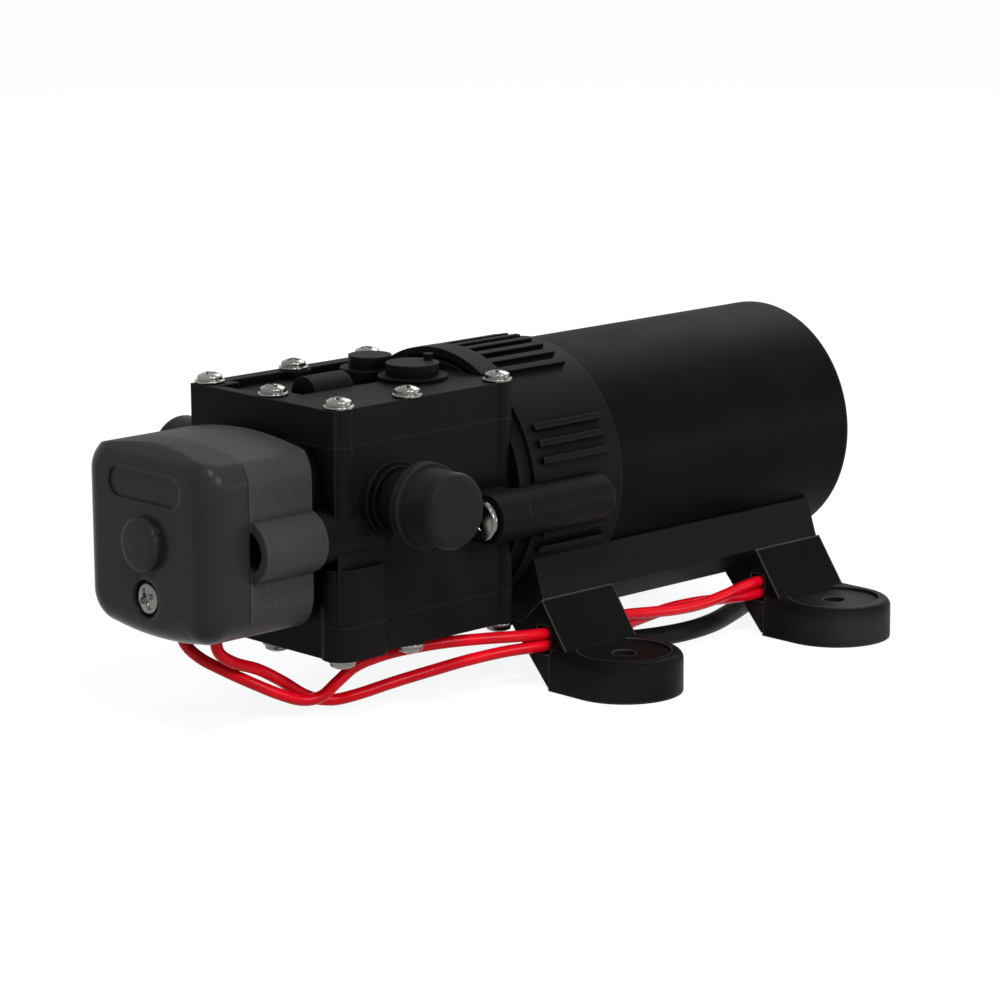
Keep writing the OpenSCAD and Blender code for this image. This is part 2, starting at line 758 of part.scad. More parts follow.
module brushes() {
    color(dark_grey) for (turn = [0, 180]) along_x(brush_x) rotate(turn)
        translate([commutator_r + run_gap, -brush_t / 2, -brush_w / 2]) cube([brush_h, brush_t, brush_w]);
}

module brush_springs() {
    start = commutator_r + run_gap + brush_h;
    length = holder_reach - brush_wall - start;
    wire = 0.5;
    color(steel) for (turn = [0, 180])
        along_x(brush_x) rotate(turn) translate([start, 0, 0]) rotate([0, 90, 0])
            translate([0, 0, wire]) tube(helix(brush_t / 2 - wire, length - 2 * wire, 3, 8), wire, 6);
}

module shaft() {
    color(steel) bar_x(shaft_front, bush_front + bush_len - shaft_end_gap, shaft_r);
}

module armature_core() {
    color(dark_grey) along_x(core_front) difference() {
        ring(shaft_r, core_r, core_len);
        for (k = [0:core_slots - 1]) rotate(360 * k / core_slots) {
            translate([turn_in, -slot_w / 2, -eps]) cube([turn_out - turn_in, slot_w, core_len + 2 * eps]);
            translate([turn_out - eps, -slot_w / 4, -eps]) cube([core_r, slot_w / 2, core_len + 2 * eps]);
        }
    }
}

module windings() {
    color(copper) along_x(core_front) {
        for (z = [-end_turn, core_len]) translate([0, 0, z])
            ring(turn_in + turn_gap, turn_out - turn_gap, end_turn);
        for (k = [0:core_slots - 1]) rotate(360 * k / core_slots)
            translate([turn_in + 2 * turn_gap, turn_gap - slot_w / 2, -eps])
                cube([turn_out - turn_in - 4 * turn_gap, slot_w - 2 * turn_gap, core_len + 2 * eps]);
    }
}

module commutator() {
    color(copper) along_x(commutator_front) difference() {
        ring(shaft_r, commutator_r, commutator_len);
        for (k = [0:core_slots - 1]) rotate(360 * k / core_slots)
            translate([commutator_r - slit_h, -slit_w / 2, -eps])
                cube([2 * slit_h, slit_w, commutator_len + 2 * eps]);
    }
}

module eccentric() {
    color(steel) along_x(shaft_front) difference() {
        translate([0, throw, 0]) cylinder(r = eccentric_r, h = 1.5 * cam_w);
        translate([0, 0, -eps]) cylinder(r = shaft_r, h = 1.5 * cam_w + 2 * eps);
    }
}

module cam_bearing() {
    color(steel) along_x(pump_x - cam_w / 2) translate([0, throw, 0]) bearing(eccentric_r, cam_r, cam_w);
}

module piston_yoke() {
    color(black) difference() {
        union() {
            block([pump_x - yoke_t / 2, -yoke_half, axis_z - window_up - yoke_bar],
                  [pump_x + yoke_t / 2, yoke_half, axis_z + window_up + yoke_bar]);
            translate([pump_x, 0, axis_z + window_up])
                cylinder(r = piston_r, h = upper_dia_z - axis_z - window_up);
            translate([pump_x, 0, lower_dia_z])
                cylinder(r = piston_r, h = axis_z - window_up - lower_dia_z);
            translate([pump_x, 0, lower_plate_z]) cylinder(r = stem_r, h = upper_plate_z - lower_plate_z);
        }
        block([pump_x - yoke_t, -window_half, axis_z - window_up],
              [pump_x + yoke_t, window_half, axis_z + window_up]);
        translate([pump_x, 0, lower_plate_z - 1])
            cylinder(r = piston_screw_r + fit_gap, h = upper_plate_z - lower_plate_z + 2);
        block([pump_x - piston_r - 1, -piston_r - 1, axis_z - window_up],
              [pump_x + piston_r + 1, piston_r + 1, axis_z + window_up]);
    }
}

// Repeats a shape on the upper valve plate's face and, turned over, on the lower one's
module each_plate() {
    translate([pump_x, 0, upper_plate_z]) children();
    translate([pump_x, 0, lower_plate_z]) mirror([0, 0, 1]) children();
}

module piston_plates() {
    color(steel) each_plate() difference() {
        cylinder(r = piston_r, h = piston_t);
        translate([0, 0, -eps]) cylinder(r = piston_screw_r + fit_gap, h = piston_t + 2 * eps);
        translate([0, 0, piston_t - piston_head_h])
            cylinder(r1 = piston_screw_r + fit_gap, r2 = piston_head_r + fit_gap, h = piston_head_h + eps);
    }
}

module piston_screws() {
    below = dia_t + yoke_bar;
    color(steel) each_plate() difference() {
        union() {
            translate([0, 0, piston_t - piston_head_h])
                cylinder(r1 = piston_screw_r, r2 = piston_head_r, h = piston_head_h);
            translate([0, 0, -below]) cylinder(r = piston_screw_r, h = below + piston_t - piston_head_h + eps);
        }
        for (turn = [0, 90]) rotate(turn)
            translate([-piston_slot_len / 2, -piston_slot_w / 2, piston_t - piston_slot_h])
                cube([piston_slot_len, piston_slot_w, 2 * piston_slot_h]);
    }
}

// The recess for a valve plate and its diaphragm, cut into the body from z, towards up
module plate_seat(z, up) {
    translate([pump_x, 0, z]) mirror([0, 0, up ? 0 : 1]) {
        translate([-plate_half - fit_gap, -plate_half - fit_gap, 0])
            cube([2 * (plate_half + fit_gap), 2 * (plate_half + fit_gap), plate_in + 1]);
        translate([0, 0, -dia_t]) cylinder(r = dia_r + fit_gap, h = dia_t + eps);
    }
}

// The wider columns at the two front corners between two heights
module low_columns(z0, z1) {
    for (s = [-1, 1]) {
        for (x = [0, low_column_len])
            translate([front_row + x, s * screw_y, z0]) cylinder(r = low_column_r, h = z1 - z0);
        block([front_row, s * screw_y - low_column_r, z0],
              [front_row + low_column_len, s * screw_y + low_column_r, z1]);
    }
}

module pump_body() {
    slot_z = axis_z - tap_drop;
    color(black) difference() {
        union() {
            block([body_front, -body_half, body_bottom], [body_rear, body_half, body_top]);
            for (c = columns) translate([c[0], c[1], body_bottom])
                cylinder(r = column_r, h = body_top - body_bottom);
            low_columns(body_bottom, low_column_top);
            block([body_front, -body_half - panel_t, body_bottom],
                  [body_front + panel_len, body_half + panel_t, panel_top]);
            bar_x(body_rear - eps, bracket_front, spigot_r);
            plate_x(boss_face, front_boss_t + eps) translate([0, -switch_drop])
                round_rect(switch_half - 2, switch_h / 2 - 2, switch_corner);
            for (s = [-1, 1]) {
                bar_x(boss_face, body_front + ear_boss_len, ear_r - 0.6, s * ear_y, -ear_drop);
                bar_x(motor_lug_front, motor_boss_front, motor_boss_r, s * motor_screw_y, -motor_screw_drop);
                mirror([0, s < 0 ? 1 : 0, 0])
                    block([motor_lug_front, body_half - 1, motor_screw_z - motor_boss_r],
                          [motor_boss_front, motor_screw_y, motor_screw_z + motor_boss_r]);
            }
        }
        translate([pump_x, 0, lower_dia_z]) cylinder(r = crank_r, h = upper_dia_z - lower_dia_z);
        plate_seat(upper_plate_z, true);
        plate_seat(lower_plate_z, false);
        bar_x(bracket_front - bearing_w - 1 - fit_gap, bracket_front + 1, hub_r + fit_gap);
        bar_x(pump_x, bracket_front, shaft_r + 2);
        for (c = cover_screws) {
            translate([c[0], c[1], body_top - screw_grip - 1])
                cylinder(r = screw_r + fit_gap, h = screw_grip + 2);
            translate([c[0], c[1], body_bottom - 1]) cylinder(r = screw_r + fit_gap, h = screw_grip + 2);
        }
        for (s = [0, 1]) mirror([0, s, 0]) {
            translate([port_x, duct_y, body_bottom - 1]) cylinder(r = duct_r, h = body_top - body_bottom + 2);
            bar_y(port_x, port_z, duct_y - 1, port_cut, shank_r + fit_gap);
            bar_y(port_x, port_z, body_half, port_cut, collar_r + fit_gap);
            bar_x(boss_face - 1, body_front + ear_grip + 0.3, screw_r + fit_gap, ear_y, -ear_drop);
            bar_x(motor_lug_front - 1, motor_boss_front + 1, motor_screw_r + fit_gap, motor_screw_y,
                  -motor_screw_drop);
        }
        bar_x(boss_face - 1, port_x, 1, duct_y, slot_z - axis_z);
        block([boss_face - 1, 4, slot_z - 1], [boss_face + 1, duct_y, slot_z + 1]);
    }
}

// The outer block of a cover between two heights, clear of the body's spigot
module cover_block(z0, z1) {
    difference() {
        union() {
            block([body_front, -body_half, z0], [body_rear, body_half, z1]);
            for (c = columns) translate([c[0], c[1], z0]) cylinder(r = column_r, h = z1 - z0);
        }
        bar_x(body_rear, bracket_front, spigot_r + fit_gap);
    }
}

// The pocket for half a valve plate and the two galleries over it, cut upwards from z
module cover_inside(z) {
    side = plate_half + fit_gap;
    translate([pump_x, 0, z]) {
        translate([-side, -side, -1]) cube([2 * side, 2 * side, plate_in + 1]);
        for (s = [0, 1]) mirror([0, s, 0]) translate([-gallery_fore, gallery_wall, plate_in - eps])
            cube([gallery_len, plate_half - gallery_side - gallery_wall, gallery_h]);
    }
}

module top_cover() {
    boss_h = recess_h + valve_boss_up;
    step_h = recess_h + boss_step_up;
    color(black) difference() {
        union() {
            difference() {
                cover_block(body_top, head_top);
                block([front_row + head_r + 1, -recess_near, recess_floor],
                      [body_rear + 1, recess_half, head_top + 1]);
                block([body_front + pocket_wall, pocket_in, recess_floor + pocket_step],
                      [front_row + head_r + 2, screw_y - pocket_side, head_top + 1]);
            }
            for (c = cover_screws) translate([c[0], c[1], body_top]) intersection() {
                cylinder(r = column_r + screw_pad, h = top_cover_h);
                block([body_front - c[0], -body_half - c[1], 0],
                      [body_rear - c[0], body_half - c[1], top_cover_h]);
            }
            translate([front_row + channel_start, 0, head_top + channel_up - channel_r]) rotate([0, 90, 0])
                intersection() {
                    cylinder(r = channel_r, h = channel_len);
                    translate([-2 * channel_r, -channel_r, 0])
                        cube([2 * channel_r + channel_sink, 2 * channel_r, channel_len]);
                }
            translate([pump_x + valve_boss_x, -valve_boss_y, recess_floor - eps]) {
                cylinder(r = near_boss_r + boss_step, h = step_h);
                cylinder(r = near_boss_r, h = boss_h);
                translate([knob_off, 0, 0]) cylinder(r = knob_r, h = boss_h + knob_up);
            }
            translate([pump_x + valve_boss_x, valve_boss_y, recess_floor - eps]) {
                cylinder(r = far_boss_r + boss_step, h = step_h);
                cylinder(r = far_boss_r, h = boss_h);
            }
        }
        cover_inside(body_top);
        for (c = cover_screws) translate([c[0], c[1], body_top - 1])
            cylinder(r = screw_r + fit_gap, h = top_cover_h + 2);
    }
}

module bottom_cover() {
    color(black) difference() {
        union() {
            cover_block(head_bottom, body_bottom);
            low_columns(head_bottom, body_bottom);
        }
        translate([0, 0, 2 * body_bottom]) mirror([0, 0, 1]) cover_inside(body_bottom);
        for (c = cover_screws) translate([c[0], c[1], head_bottom - 1])
            cylinder(r = screw_r + fit_gap, h = bottom_cover_h + 2);
    }
}

// A valve plate with its chamber facing down
module valve_plate() {
    difference() {
        translate([-plate_half, -plate_half, 0]) cube([2 * plate_half, 2 * plate_half, plate_t]);
        translate([0, 0, -1]) cylinder(r = chamber_r, h = chamber_h + 1);
        for (s = [-1, 1]) {
            translate([-port_fore, s * duct_y, -1]) cylinder(r = duct_r, h = plate_t + 2);
            translate([valve_place(s)[0] - pump_x, valve_place(s)[1], 0]) {
                cylinder(r = valve_stem_r + fit_gap, h = plate_t + 1);
                for (k = [0:3]) rotate(90 * k) translate([flap_r - valve_hole_in, 0, 0])
                    cylinder(r = valve_hole_r, h = plate_t + 1);
            }
        }
    }
}

module upper_valve_plate() {
    color(dark_grey) translate([pump_x, 0, upper_plate_z]) valve_plate();
}

module lower_valve_plate() {
    color(dark_grey) translate([pump_x, 0, lower_plate_z]) mirror([0, 0, 1]) valve_plate();
}

// A mushroom valve: the flap lies below its web for an inlet, and on top of it for an outlet
module mushroom(web) {
    translate([0, 0, -flap_t]) cylinder(r = flap_r, h = flap_t);
    translate([0, 0, -eps]) cylinder(r = valve_stem_r, h = web + 0.4);
}

module inlet_valves() {
    color(rubber_black) each_plate() translate([valve_place(1)[0] - pump_x, valve_place(1)[1], chamber_h])
        mushroom(plate_t - chamber_h);
}

module outlet_valves() {
    color(rubber_black) each_plate() translate([valve_place(-1)[0] - pump_x, valve_place(-1)[1], plate_t])
        mirror([0, 0, 1]) mushroom(plate_t - chamber_h);
}

// A diaphragm that is clamped at its rim and at its middle
module diaphragm() {
    difference() {
        cylinder(r = dia_r, h = dia_t);
        translate([0, 0, -eps]) cylinder(r = stem_r + fit_gap, h = dia_t + 2 * eps);
        translate([0, 0, dia_t / 2]) ring(piston_r + 1, chamber_r - 0.8, dia_t);
    }
}

module upper_diaphragm() {
    color(rubber_black) translate([pump_x, 0, upper_dia_z]) diaphragm();
}

module lower_diaphragm() {
    color(rubber_black) translate([pump_x, 0, lower_dia_z]) mirror([0, 0, 1]) diaphragm();
}

module top_screws() {
    color(steel) for (c = cover_screws) translate([c[0], c[1], head_top])
        rotate(c[0] * 7) pan_screw(screw_r, top_cover_h + screw_grip, head_r, head_h);
}

module bottom_screws() {
    color(steel) for (c = cover_screws) translate([c[0], c[1], head_bottom]) mirror([0, 0, 1])
        rotate(c[0] * 5) pan_screw(screw_r, bottom_cover_h + screw_grip, head_r, head_h);
}

module motor_screws() {
    color(steel) for (s = [-1, 1]) translate([motor_lug_front, s * motor_screw_y, motor_screw_z])
        rotate([0, -90, 0]) rotate(30)
            pan_screw(motor_screw_r, motor_lug_len + motor_hole_len - 1, motor_head_r, motor_head_h);
}

// A port fitting along +Z, with its collar against the body's side at z = 0
module fitting() {
    difference() {
        union() {
            translate([0, 0, -shank]) cylinder(r = shank_r, h = shank + eps);
            cylinder(r = collar_r, h = collar_t);
            cylinder(r = (collar_r + neck_r) / 2, h = collar_t + bead_t);
            cylinder(r = neck_r, h = collar_t + neck_len);
        }
        translate([0, 0, -shank - 1]) cylinder(r = bore_r, h = shank + collar_t + neck_len + 2);
        translate([0, 0, -shank / 2 - seal_r]) ring(shank_r - 2 * seal_r, shank_r + 1, 2 * seal_r);
    }
}

// Turns a shape along +Z so that it points out of the body's side
module port_side(s) {
    translate([port_x, s * body_half, port_z]) rotate([-90 * s, 0, 0]) children();
}

module outlet_fitting() {
    color(black) port_side(-1) fitting();
}

module inlet_fitting() {
    color(black) port_side(1) fitting();
}

module port_seals() {
    color(rubber_black) for (s = [-1, 1]) port_side(s) translate([0, 0, -shank / 2])
        rotate_extrude() translate([shank_r - seal_r, 0]) circle(seal_r - 0.02, $fn = 24);
}

// A push-on cap along +Z with a lip at its mouth, left out from the neck's end by a gap
module cap(out = 0) {
    start = collar_t + neck_len - cap_grip + out;
    lip_t = 2;
    translate([0, 0, start]) difference() {
        union() {
            rotate_extrude() intersection() {
                soft_profile(cap_r, cap_grip + cap_end, cap_edge);
                square([cap_r, cap_grip + cap_end]);
            }
            cylinder(r = lip_ring_r, h = lip_t);
        }
        translate([0, 0, -1]) cylinder(r = neck_r + run_gap, h = cap_grip + 1);
    }
}

module outlet_cap() {
    color(rubber_black) port_side(-1) cap();
}

module inlet_cap() {
    color(rubber_black) port_side(1) cap(inlet_cap_out);
}

// Outline of the switch, set in from its outer face
module switch_outline(inset) {
    half_h = switch_h / 2;
    translate([0, -switch_drop]) intersection() {
        round_rect(switch_half - inset, half_h - inset, switch_corner - inset);
        translate([0, half_h - crown_r]) circle(crown_r - inset);
    }
}

module switch_base() {
    cavity = switch_back - switch_seam;
    color(dark_grey) difference() {
        union() {
            plate_x(switch_seam, switch_base_len) switch_outline(0);
            for (s = [-1, 1]) bar_x(ear_front, boss_face, ear_r, s * ear_y, -ear_drop);
        }
        difference() {
            plate_x(switch_seam - 1, cavity + 1) switch_outline(switch_wall);
            bar_x(switch_seam - 1, switch_back + 1, cover_boss_r, 0, cover_screw_z - axis_z);
            for (s = [-1, 1])
                bar_x(switch_seam - 1, switch_back + 1, counterbore_r + 1.2, s * ear_y, -ear_drop);
        }
        bar_x(plunger_face, boss_face + 1, switch_dia_r + fit_gap);
        bar_x(switch_back + plunger_web, boss_face + 1, plunger_disc_r + 0.4);
        bar_x(switch_back - 1, boss_face, plunger_stem_r + run_gap);
        bar_x(switch_seam - 1, switch_back, cover_screw_r + fit_gap, 0, cover_screw_z - axis_z);
        for (s = [-1, 1]) {
            bar_x(switch_seam - 1, ear_floor, counterbore_r, s * ear_y, -ear_drop);
            bar_x(ear_floor - 1, boss_face + 1, screw_r + fit_gap, s * ear_y, -ear_drop);
        }
        for (y = lead_exit_y) translate([lead_exit_x, y, switch_bottom - 1])
            cylinder(r = lead_d / 2 + 0.15, h = switch_wall + 2);
    }
}

module switch_cover() {
    half_h = switch_h / 2;
    color(dark_grey) difference() {
        union() {
            intersection() {
                translate([switch_seam, 0, switch_mid]) rotate([0, -90, 0])
                    soft_plate(half_h, switch_half, switch_cover_len, switch_corner, switch_edge);
                bar_x(switch_front - 1, switch_seam + 1, crown_r, 0, half_h - switch_drop - crown_r);
            }
            intersection() {
                translate([switch_seam, 0, switch_bottom - chin + chin_r]) rotate([0, -90, 0])
                    rotate_extrude($fn = 128) intersection() {
                        soft_profile(chin_r, switch_cover_len - chin_back, switch_edge - 2 * chin_back);
                        square([chin_r, switch_cover_len - chin_back]);
                    }
                block([switch_front, -chin_half - 2 * chin_back, switch_bottom - chin - 1],
                      [switch_seam, chin_half + 2 * chin_back, switch_bottom + switch_edge + 1]);
            }
            translate([switch_front + eps, 0, dome_z]) rotate([0, -90, 0]) rotate_extrude() intersection() {
                soft_profile(dome_r, dome_h + eps, dome_edge);
                square([dome_r, dome_h + eps]);
                translate([0, dome_h + eps - dome_crown_r]) circle(dome_crown_r, $fn = 256);
            }
        }
        difference() {
            plate_x(switch_front + switch_wall, switch_cover_len) switch_outline(switch_wall);
            bar_x(switch_front, switch_seam, cover_boss_r, 0, cover_screw_z - axis_z);
        }
        bar_x(switch_front - 1, switch_front + cover_screw_seat, cover_hole_r, 0, cover_screw_z - axis_z);
        bar_x(switch_front, switch_seam + 1, cover_screw_r + fit_gap, 0, cover_screw_z - axis_z);
        plate_x(switch_front - 1, 1 + oval_depth) translate([0, oval_up - dome_drop])
            round_rect(oval_len / 2, oval_w / 2, oval_w / 2 - eps);
    }
}

module switch_screws() {
    color(steel) for (s = [-1, 1]) translate([ear_floor, s * ear_y, axis_z - ear_drop]) rotate([0, -90, 0])
        pan_screw(screw_r, body_front - ear_floor + ear_grip, head_r, head_h);
}

module cover_screw() {
    color(steel) translate([switch_front + cover_screw_seat, 0, cover_screw_z]) rotate([0, -90, 0])
        rotate(25) pan_screw(cover_screw_r, switch_back - switch_front - cover_screw_seat - 1, cover_head_r,
                             cover_head_h);
}

module microswitch() {
    color(black) difference() {
        block([micro_front, -micro_w / 2, axis_z - micro_h / 2],
              [micro_back, micro_w / 2, axis_z + micro_h / 2]);
        bar_x(micro_back - button_in - plunger_travel - button_room, micro_back + 1, button_r + run_gap);
        for (s = [-1, 1]) translate([micro_front + micro_hole_in, s * micro_hole_y, axis_z - micro_h])
            cylinder(r = micro_hole_r, h = 2 * micro_h);
    }
}

module switch_button() {
    color(red) bar_x(micro_back - button_in, micro_back + button_h, button_r);
}

module switch_plunger() {
    color(steel) {
        bar_x(plunger_face - plunger_disc_t, plunger_face, plunger_disc_r);
        bar_x(plunger_tip, plunger_face - plunger_disc_t + eps, plunger_stem_r);
    }
}

module switch_diaphragm() {
    color(rubber_black) bar_x(plunger_face, boss_face, switch_dia_r);
}

module switch_spring() {
    length = plunger_face - plunger_disc_t - switch_back - plunger_web;
    color(steel) along_x(switch_back + plunger_web + spring_wire / 2)
        tube(helix(spring_r, length - spring_wire, 3, 12), spring_wire, 6);
}

module base_saddle() {
    color(black) {
        difference() {
            translate([saddle_front, 0, 0]) rotate([90, 0, 90]) linear_extrude(saddle_len) polygon([
                [-saddle_top_y - saddle_lip, saddle_top_z], [-saddle_half, saddle_edge_z],
                [-saddle_flat, saddle_under], [saddle_flat, saddle_under], [saddle_half, saddle_edge_z],
                [saddle_top_y + saddle_lip, saddle_top_z]]);
            bar_x(saddle_front - 1, saddle_front + saddle_len + 1, can_r + fit_gap);
        }
        for (x = [-foot_x, foot_x], s = [0, 1]) mirror([0, s, 0])
            block([x - peg_w / 2, peg_y - peg_t / 2, saddle_under - peg_h],
                  [x + peg_w / 2, peg_y + peg_t / 2, saddle_edge_z - peg_t]);
    }
}

// A rubber foot on the +Y side, at x = 0: a slanted leg under the saddle and a half-round pad
module foot() {
    soft = fit_gap;
    difference() {
        union() {
            translate([-leg_w / 2, 0, 0]) rotate([90, 0, 90]) linear_extrude(leg_w) polygon([
                [saddle_half, saddle_edge_z], [leg_out, pad_h], [leg_out, 0], [leg_in_floor, 0],
                [leg_in_top, saddle_under], [saddle_flat, saddle_under]]);
            translate([0, foot_y, 0]) rotate_extrude() intersection() {
                soft_profile(pad_r, pad_h, pad_round);
                square([pad_r, pad_h]);
            }
            translate([0, foot_y, 0]) rotate([90, 0, 0]) linear_extrude(foot_y - leg_in_floor - 2)
                for (s = [0, 1]) mirror([s, 0]) soft_profile(pad_r, pad_h, pad_round);
        }
        translate([0, foot_y, -1]) cylinder(r = foot_hole_r, h = pad_h + 2);
        intersection() {
            translate([0, foot_y, pad_h - dish_h]) cylinder(r = pad_r - dish_rim, h = dish_h + 1);
            block([-pad_r, leg_out, pad_h - dish_h], [pad_r, foot_y + pad_r, pad_h + 1]);
        }
        translate([-pad_r - 1, channel_y - channel_w / 2, channel_z - channel_h / 2])
            cube([2 * pad_r + 2, channel_w, channel_h]);
        translate([-peg_w / 2 - soft, peg_y - peg_t / 2 - soft, saddle_under - peg_h - soft])
            cube([peg_w + 2 * soft, peg_t + 2 * soft, 2 * peg_h]);
    }
}

// Places a foot at its corner
module foot_at(x_side, y_side) {
    color(rubber_black) translate([x_side * foot_x, 0, 0]) mirror([0, y_side < 0 ? 1 : 0, 0])
        foot();
}

module near_front_foot() {
    foot_at(-1, -1);
}

module near_rear_foot() {
    foot_at(1, -1);
}

module far_front_foot() {
    foot_at(-1, 1);
}

module far_rear_foot() {
    foot_at(1, 1);
}

module lead_grommet() {
    inside = 1.4;
    wall = can_wall + bush_hub_t;
    color(rubber_black) translate([can_rear, 0, grommet_z]) rotate([0, 90, 0]) difference() {
        union() {
            translate([0, 0, -wall]) cylinder(r = grommet_r - fit_gap, h = wall + eps);
            cylinder(r = grommet_r + grommet_lip, h = inside);
        }
        for (z = lead_hole_z) translate([-z, lead_hole_y, -wall - 1])
            cylinder(r = lead_d / 2 + 0.1, h = wall + 4);
        translate([0, cable_hole_y, -wall - 1]) cylinder(r = cable_d / 2 + 0.1, h = wall + 4);
    }
}

module upper_lead() {
    color(red) tube(upper_lead_route, lead_d);
}

module lower_lead() {
    color(red) tube(lower_lead_route, lead_d);
}

module supply_cable() {
    color(black) tube(cable_route, cable_d, 10);
}

// The two cores side by side past the cable's end, from start to stop
module cores(start, stop, d) {
    along = heading(cable_route, len(cable_route) - 1);
    for (s = [-1, 1]) translate(cable_end) rotate(atan2(along[1], along[0]))
        translate([start, s * core_d * 0.55, 0]) rotate([0, 90, 0]) cylinder(r = d / 2, h = stop - start);
}

module supply_cores() {
    color(red) cores(0, core_len_out, core_d);
}

module bare_ends() {
    color(copper) cores(core_len_out, core_len_out + core_bare, core_d * 0.6);
}

motor_can();
motor_bracket();
front_bearing();
rear_bush();
magnets();
brush_holder();
brushes();
brush_springs();
shaft();
armature_core();
windings();
commutator();
eccentric();
cam_bearing();
piston_yoke();
piston_plates();
piston_screws();
pump_body();
top_cover();
bottom_cover();
upper_valve_plate();
lower_valve_plate();
upper_diaphragm();
lower_diaphragm();
inlet_valves();
outlet_valves();
top_screws();
bottom_screws();
motor_screws();
outlet_fitting();
inlet_fitting();
port_seals();
outlet_cap();
inlet_cap();
switch_base();
switch_cover();
switch_screws();
cover_screw();
microswitch();
switch_button();
switch_plunger();
switch_diaphragm();
switch_spring();
base_saddle();
near_front_foot();
near_rear_foot();
far_front_foot();
far_rear_foot();
lead_grommet();
upper_lead();
lower_lead();
supply_cable();
supply_cores();
bare_ends();
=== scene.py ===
"""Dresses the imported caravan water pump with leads, screws, a spring, finishes, lamps and a camera.

Lengths are in metres, and in millimetres where a docstring says so.
"""

from __future__ import annotations

import json
import logging
import math
from dataclasses import dataclass, field, replace
from enum import Enum
from typing import Any, Iterable

import bpy
import numpy as np
from mathutils import Matrix, Vector

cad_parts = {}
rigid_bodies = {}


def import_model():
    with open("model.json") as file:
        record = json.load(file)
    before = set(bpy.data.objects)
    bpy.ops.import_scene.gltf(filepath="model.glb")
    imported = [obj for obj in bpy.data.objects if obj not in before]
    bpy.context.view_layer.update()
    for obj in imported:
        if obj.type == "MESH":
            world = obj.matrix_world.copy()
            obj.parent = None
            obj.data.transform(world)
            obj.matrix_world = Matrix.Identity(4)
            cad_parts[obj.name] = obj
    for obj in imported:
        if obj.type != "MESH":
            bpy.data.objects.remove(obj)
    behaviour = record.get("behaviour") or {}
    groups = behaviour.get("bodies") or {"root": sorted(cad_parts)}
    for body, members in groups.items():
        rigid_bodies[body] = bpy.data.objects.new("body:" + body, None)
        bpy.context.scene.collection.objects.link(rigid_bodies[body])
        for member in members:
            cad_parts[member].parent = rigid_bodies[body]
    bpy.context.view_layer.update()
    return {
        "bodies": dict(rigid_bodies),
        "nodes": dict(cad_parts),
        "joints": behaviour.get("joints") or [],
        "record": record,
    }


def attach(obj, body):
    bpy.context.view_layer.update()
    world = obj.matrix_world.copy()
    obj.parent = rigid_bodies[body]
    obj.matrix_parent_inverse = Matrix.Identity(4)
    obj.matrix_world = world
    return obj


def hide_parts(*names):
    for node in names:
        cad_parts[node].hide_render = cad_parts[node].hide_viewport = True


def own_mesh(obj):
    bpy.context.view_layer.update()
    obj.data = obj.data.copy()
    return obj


log = logging.getLogger("pump")

MM = 0.001
Colour = tuple[float, float, float]
Point = tuple[float, float, float]
WHITE: Colour = (1.0, 1.0, 1.0)


class Value:
    """A number socket in a shader: arithmetic on it adds Math nodes to its graph."""

    def __init__(self, graph: "Graph", socket: bpy.types.NodeSocket) -> None:
        """Keeps the socket with the graph that it belongs to.

        Args:
            graph: The graph that new nodes go into.
            socket: The output socket that holds the number.
        """
        self.graph = graph
        self.socket = socket

    def _math(self, operation: str, *others: Any) -> "Value":
        """Adds one Math node.

        Args:
            operation: The Math node's operation.
            others: The node's inputs in order, values or numbers.

        Returns:
            The node's result.
        """
        made = self.graph.node("ShaderNodeMath", {"operation": operation}, dict(enumerate(others)))
        return Value(self.graph, made.outputs[0])

    def __add__(self, other: Any) -> "Value":
        """The sum."""
        return self._math("ADD", self, other)

    def __sub__(self, other: Any) -> "Value":
        """The difference."""
        return self._math("SUBTRACT", self, other)

    def __rsub__(self, other: Any) -> "Value":
        """The difference, with the number first."""
        return self._math("SUBTRACT", other, self)

    def __mul__(self, other: Any) -> "Value":
        """The product."""
        return self._math("MULTIPLY", self, other)

    def smooth(self, low: float, high: float) -> "Value":
        """A soft step from 0 at low to 1 at high.

        Args:
            low: Where the step starts.
            high: Where the step ends.

        Returns:
            The step's height.
        """
        made = self.graph.node(
            "ShaderNodeMapRange",
            {"interpolation_type": "SMOOTHSTEP"},
            {"Value": self, "From Min": low, "From Max": high},
        )
        return Value(self.graph, made.outputs["Result"])

    def held(self) -> "Value":
        """The value held between 0 and 1."""
        made = self.graph.node("ShaderNodeClamp", {}, {"Value": self})
        return Value(self.graph, made.outputs[0])


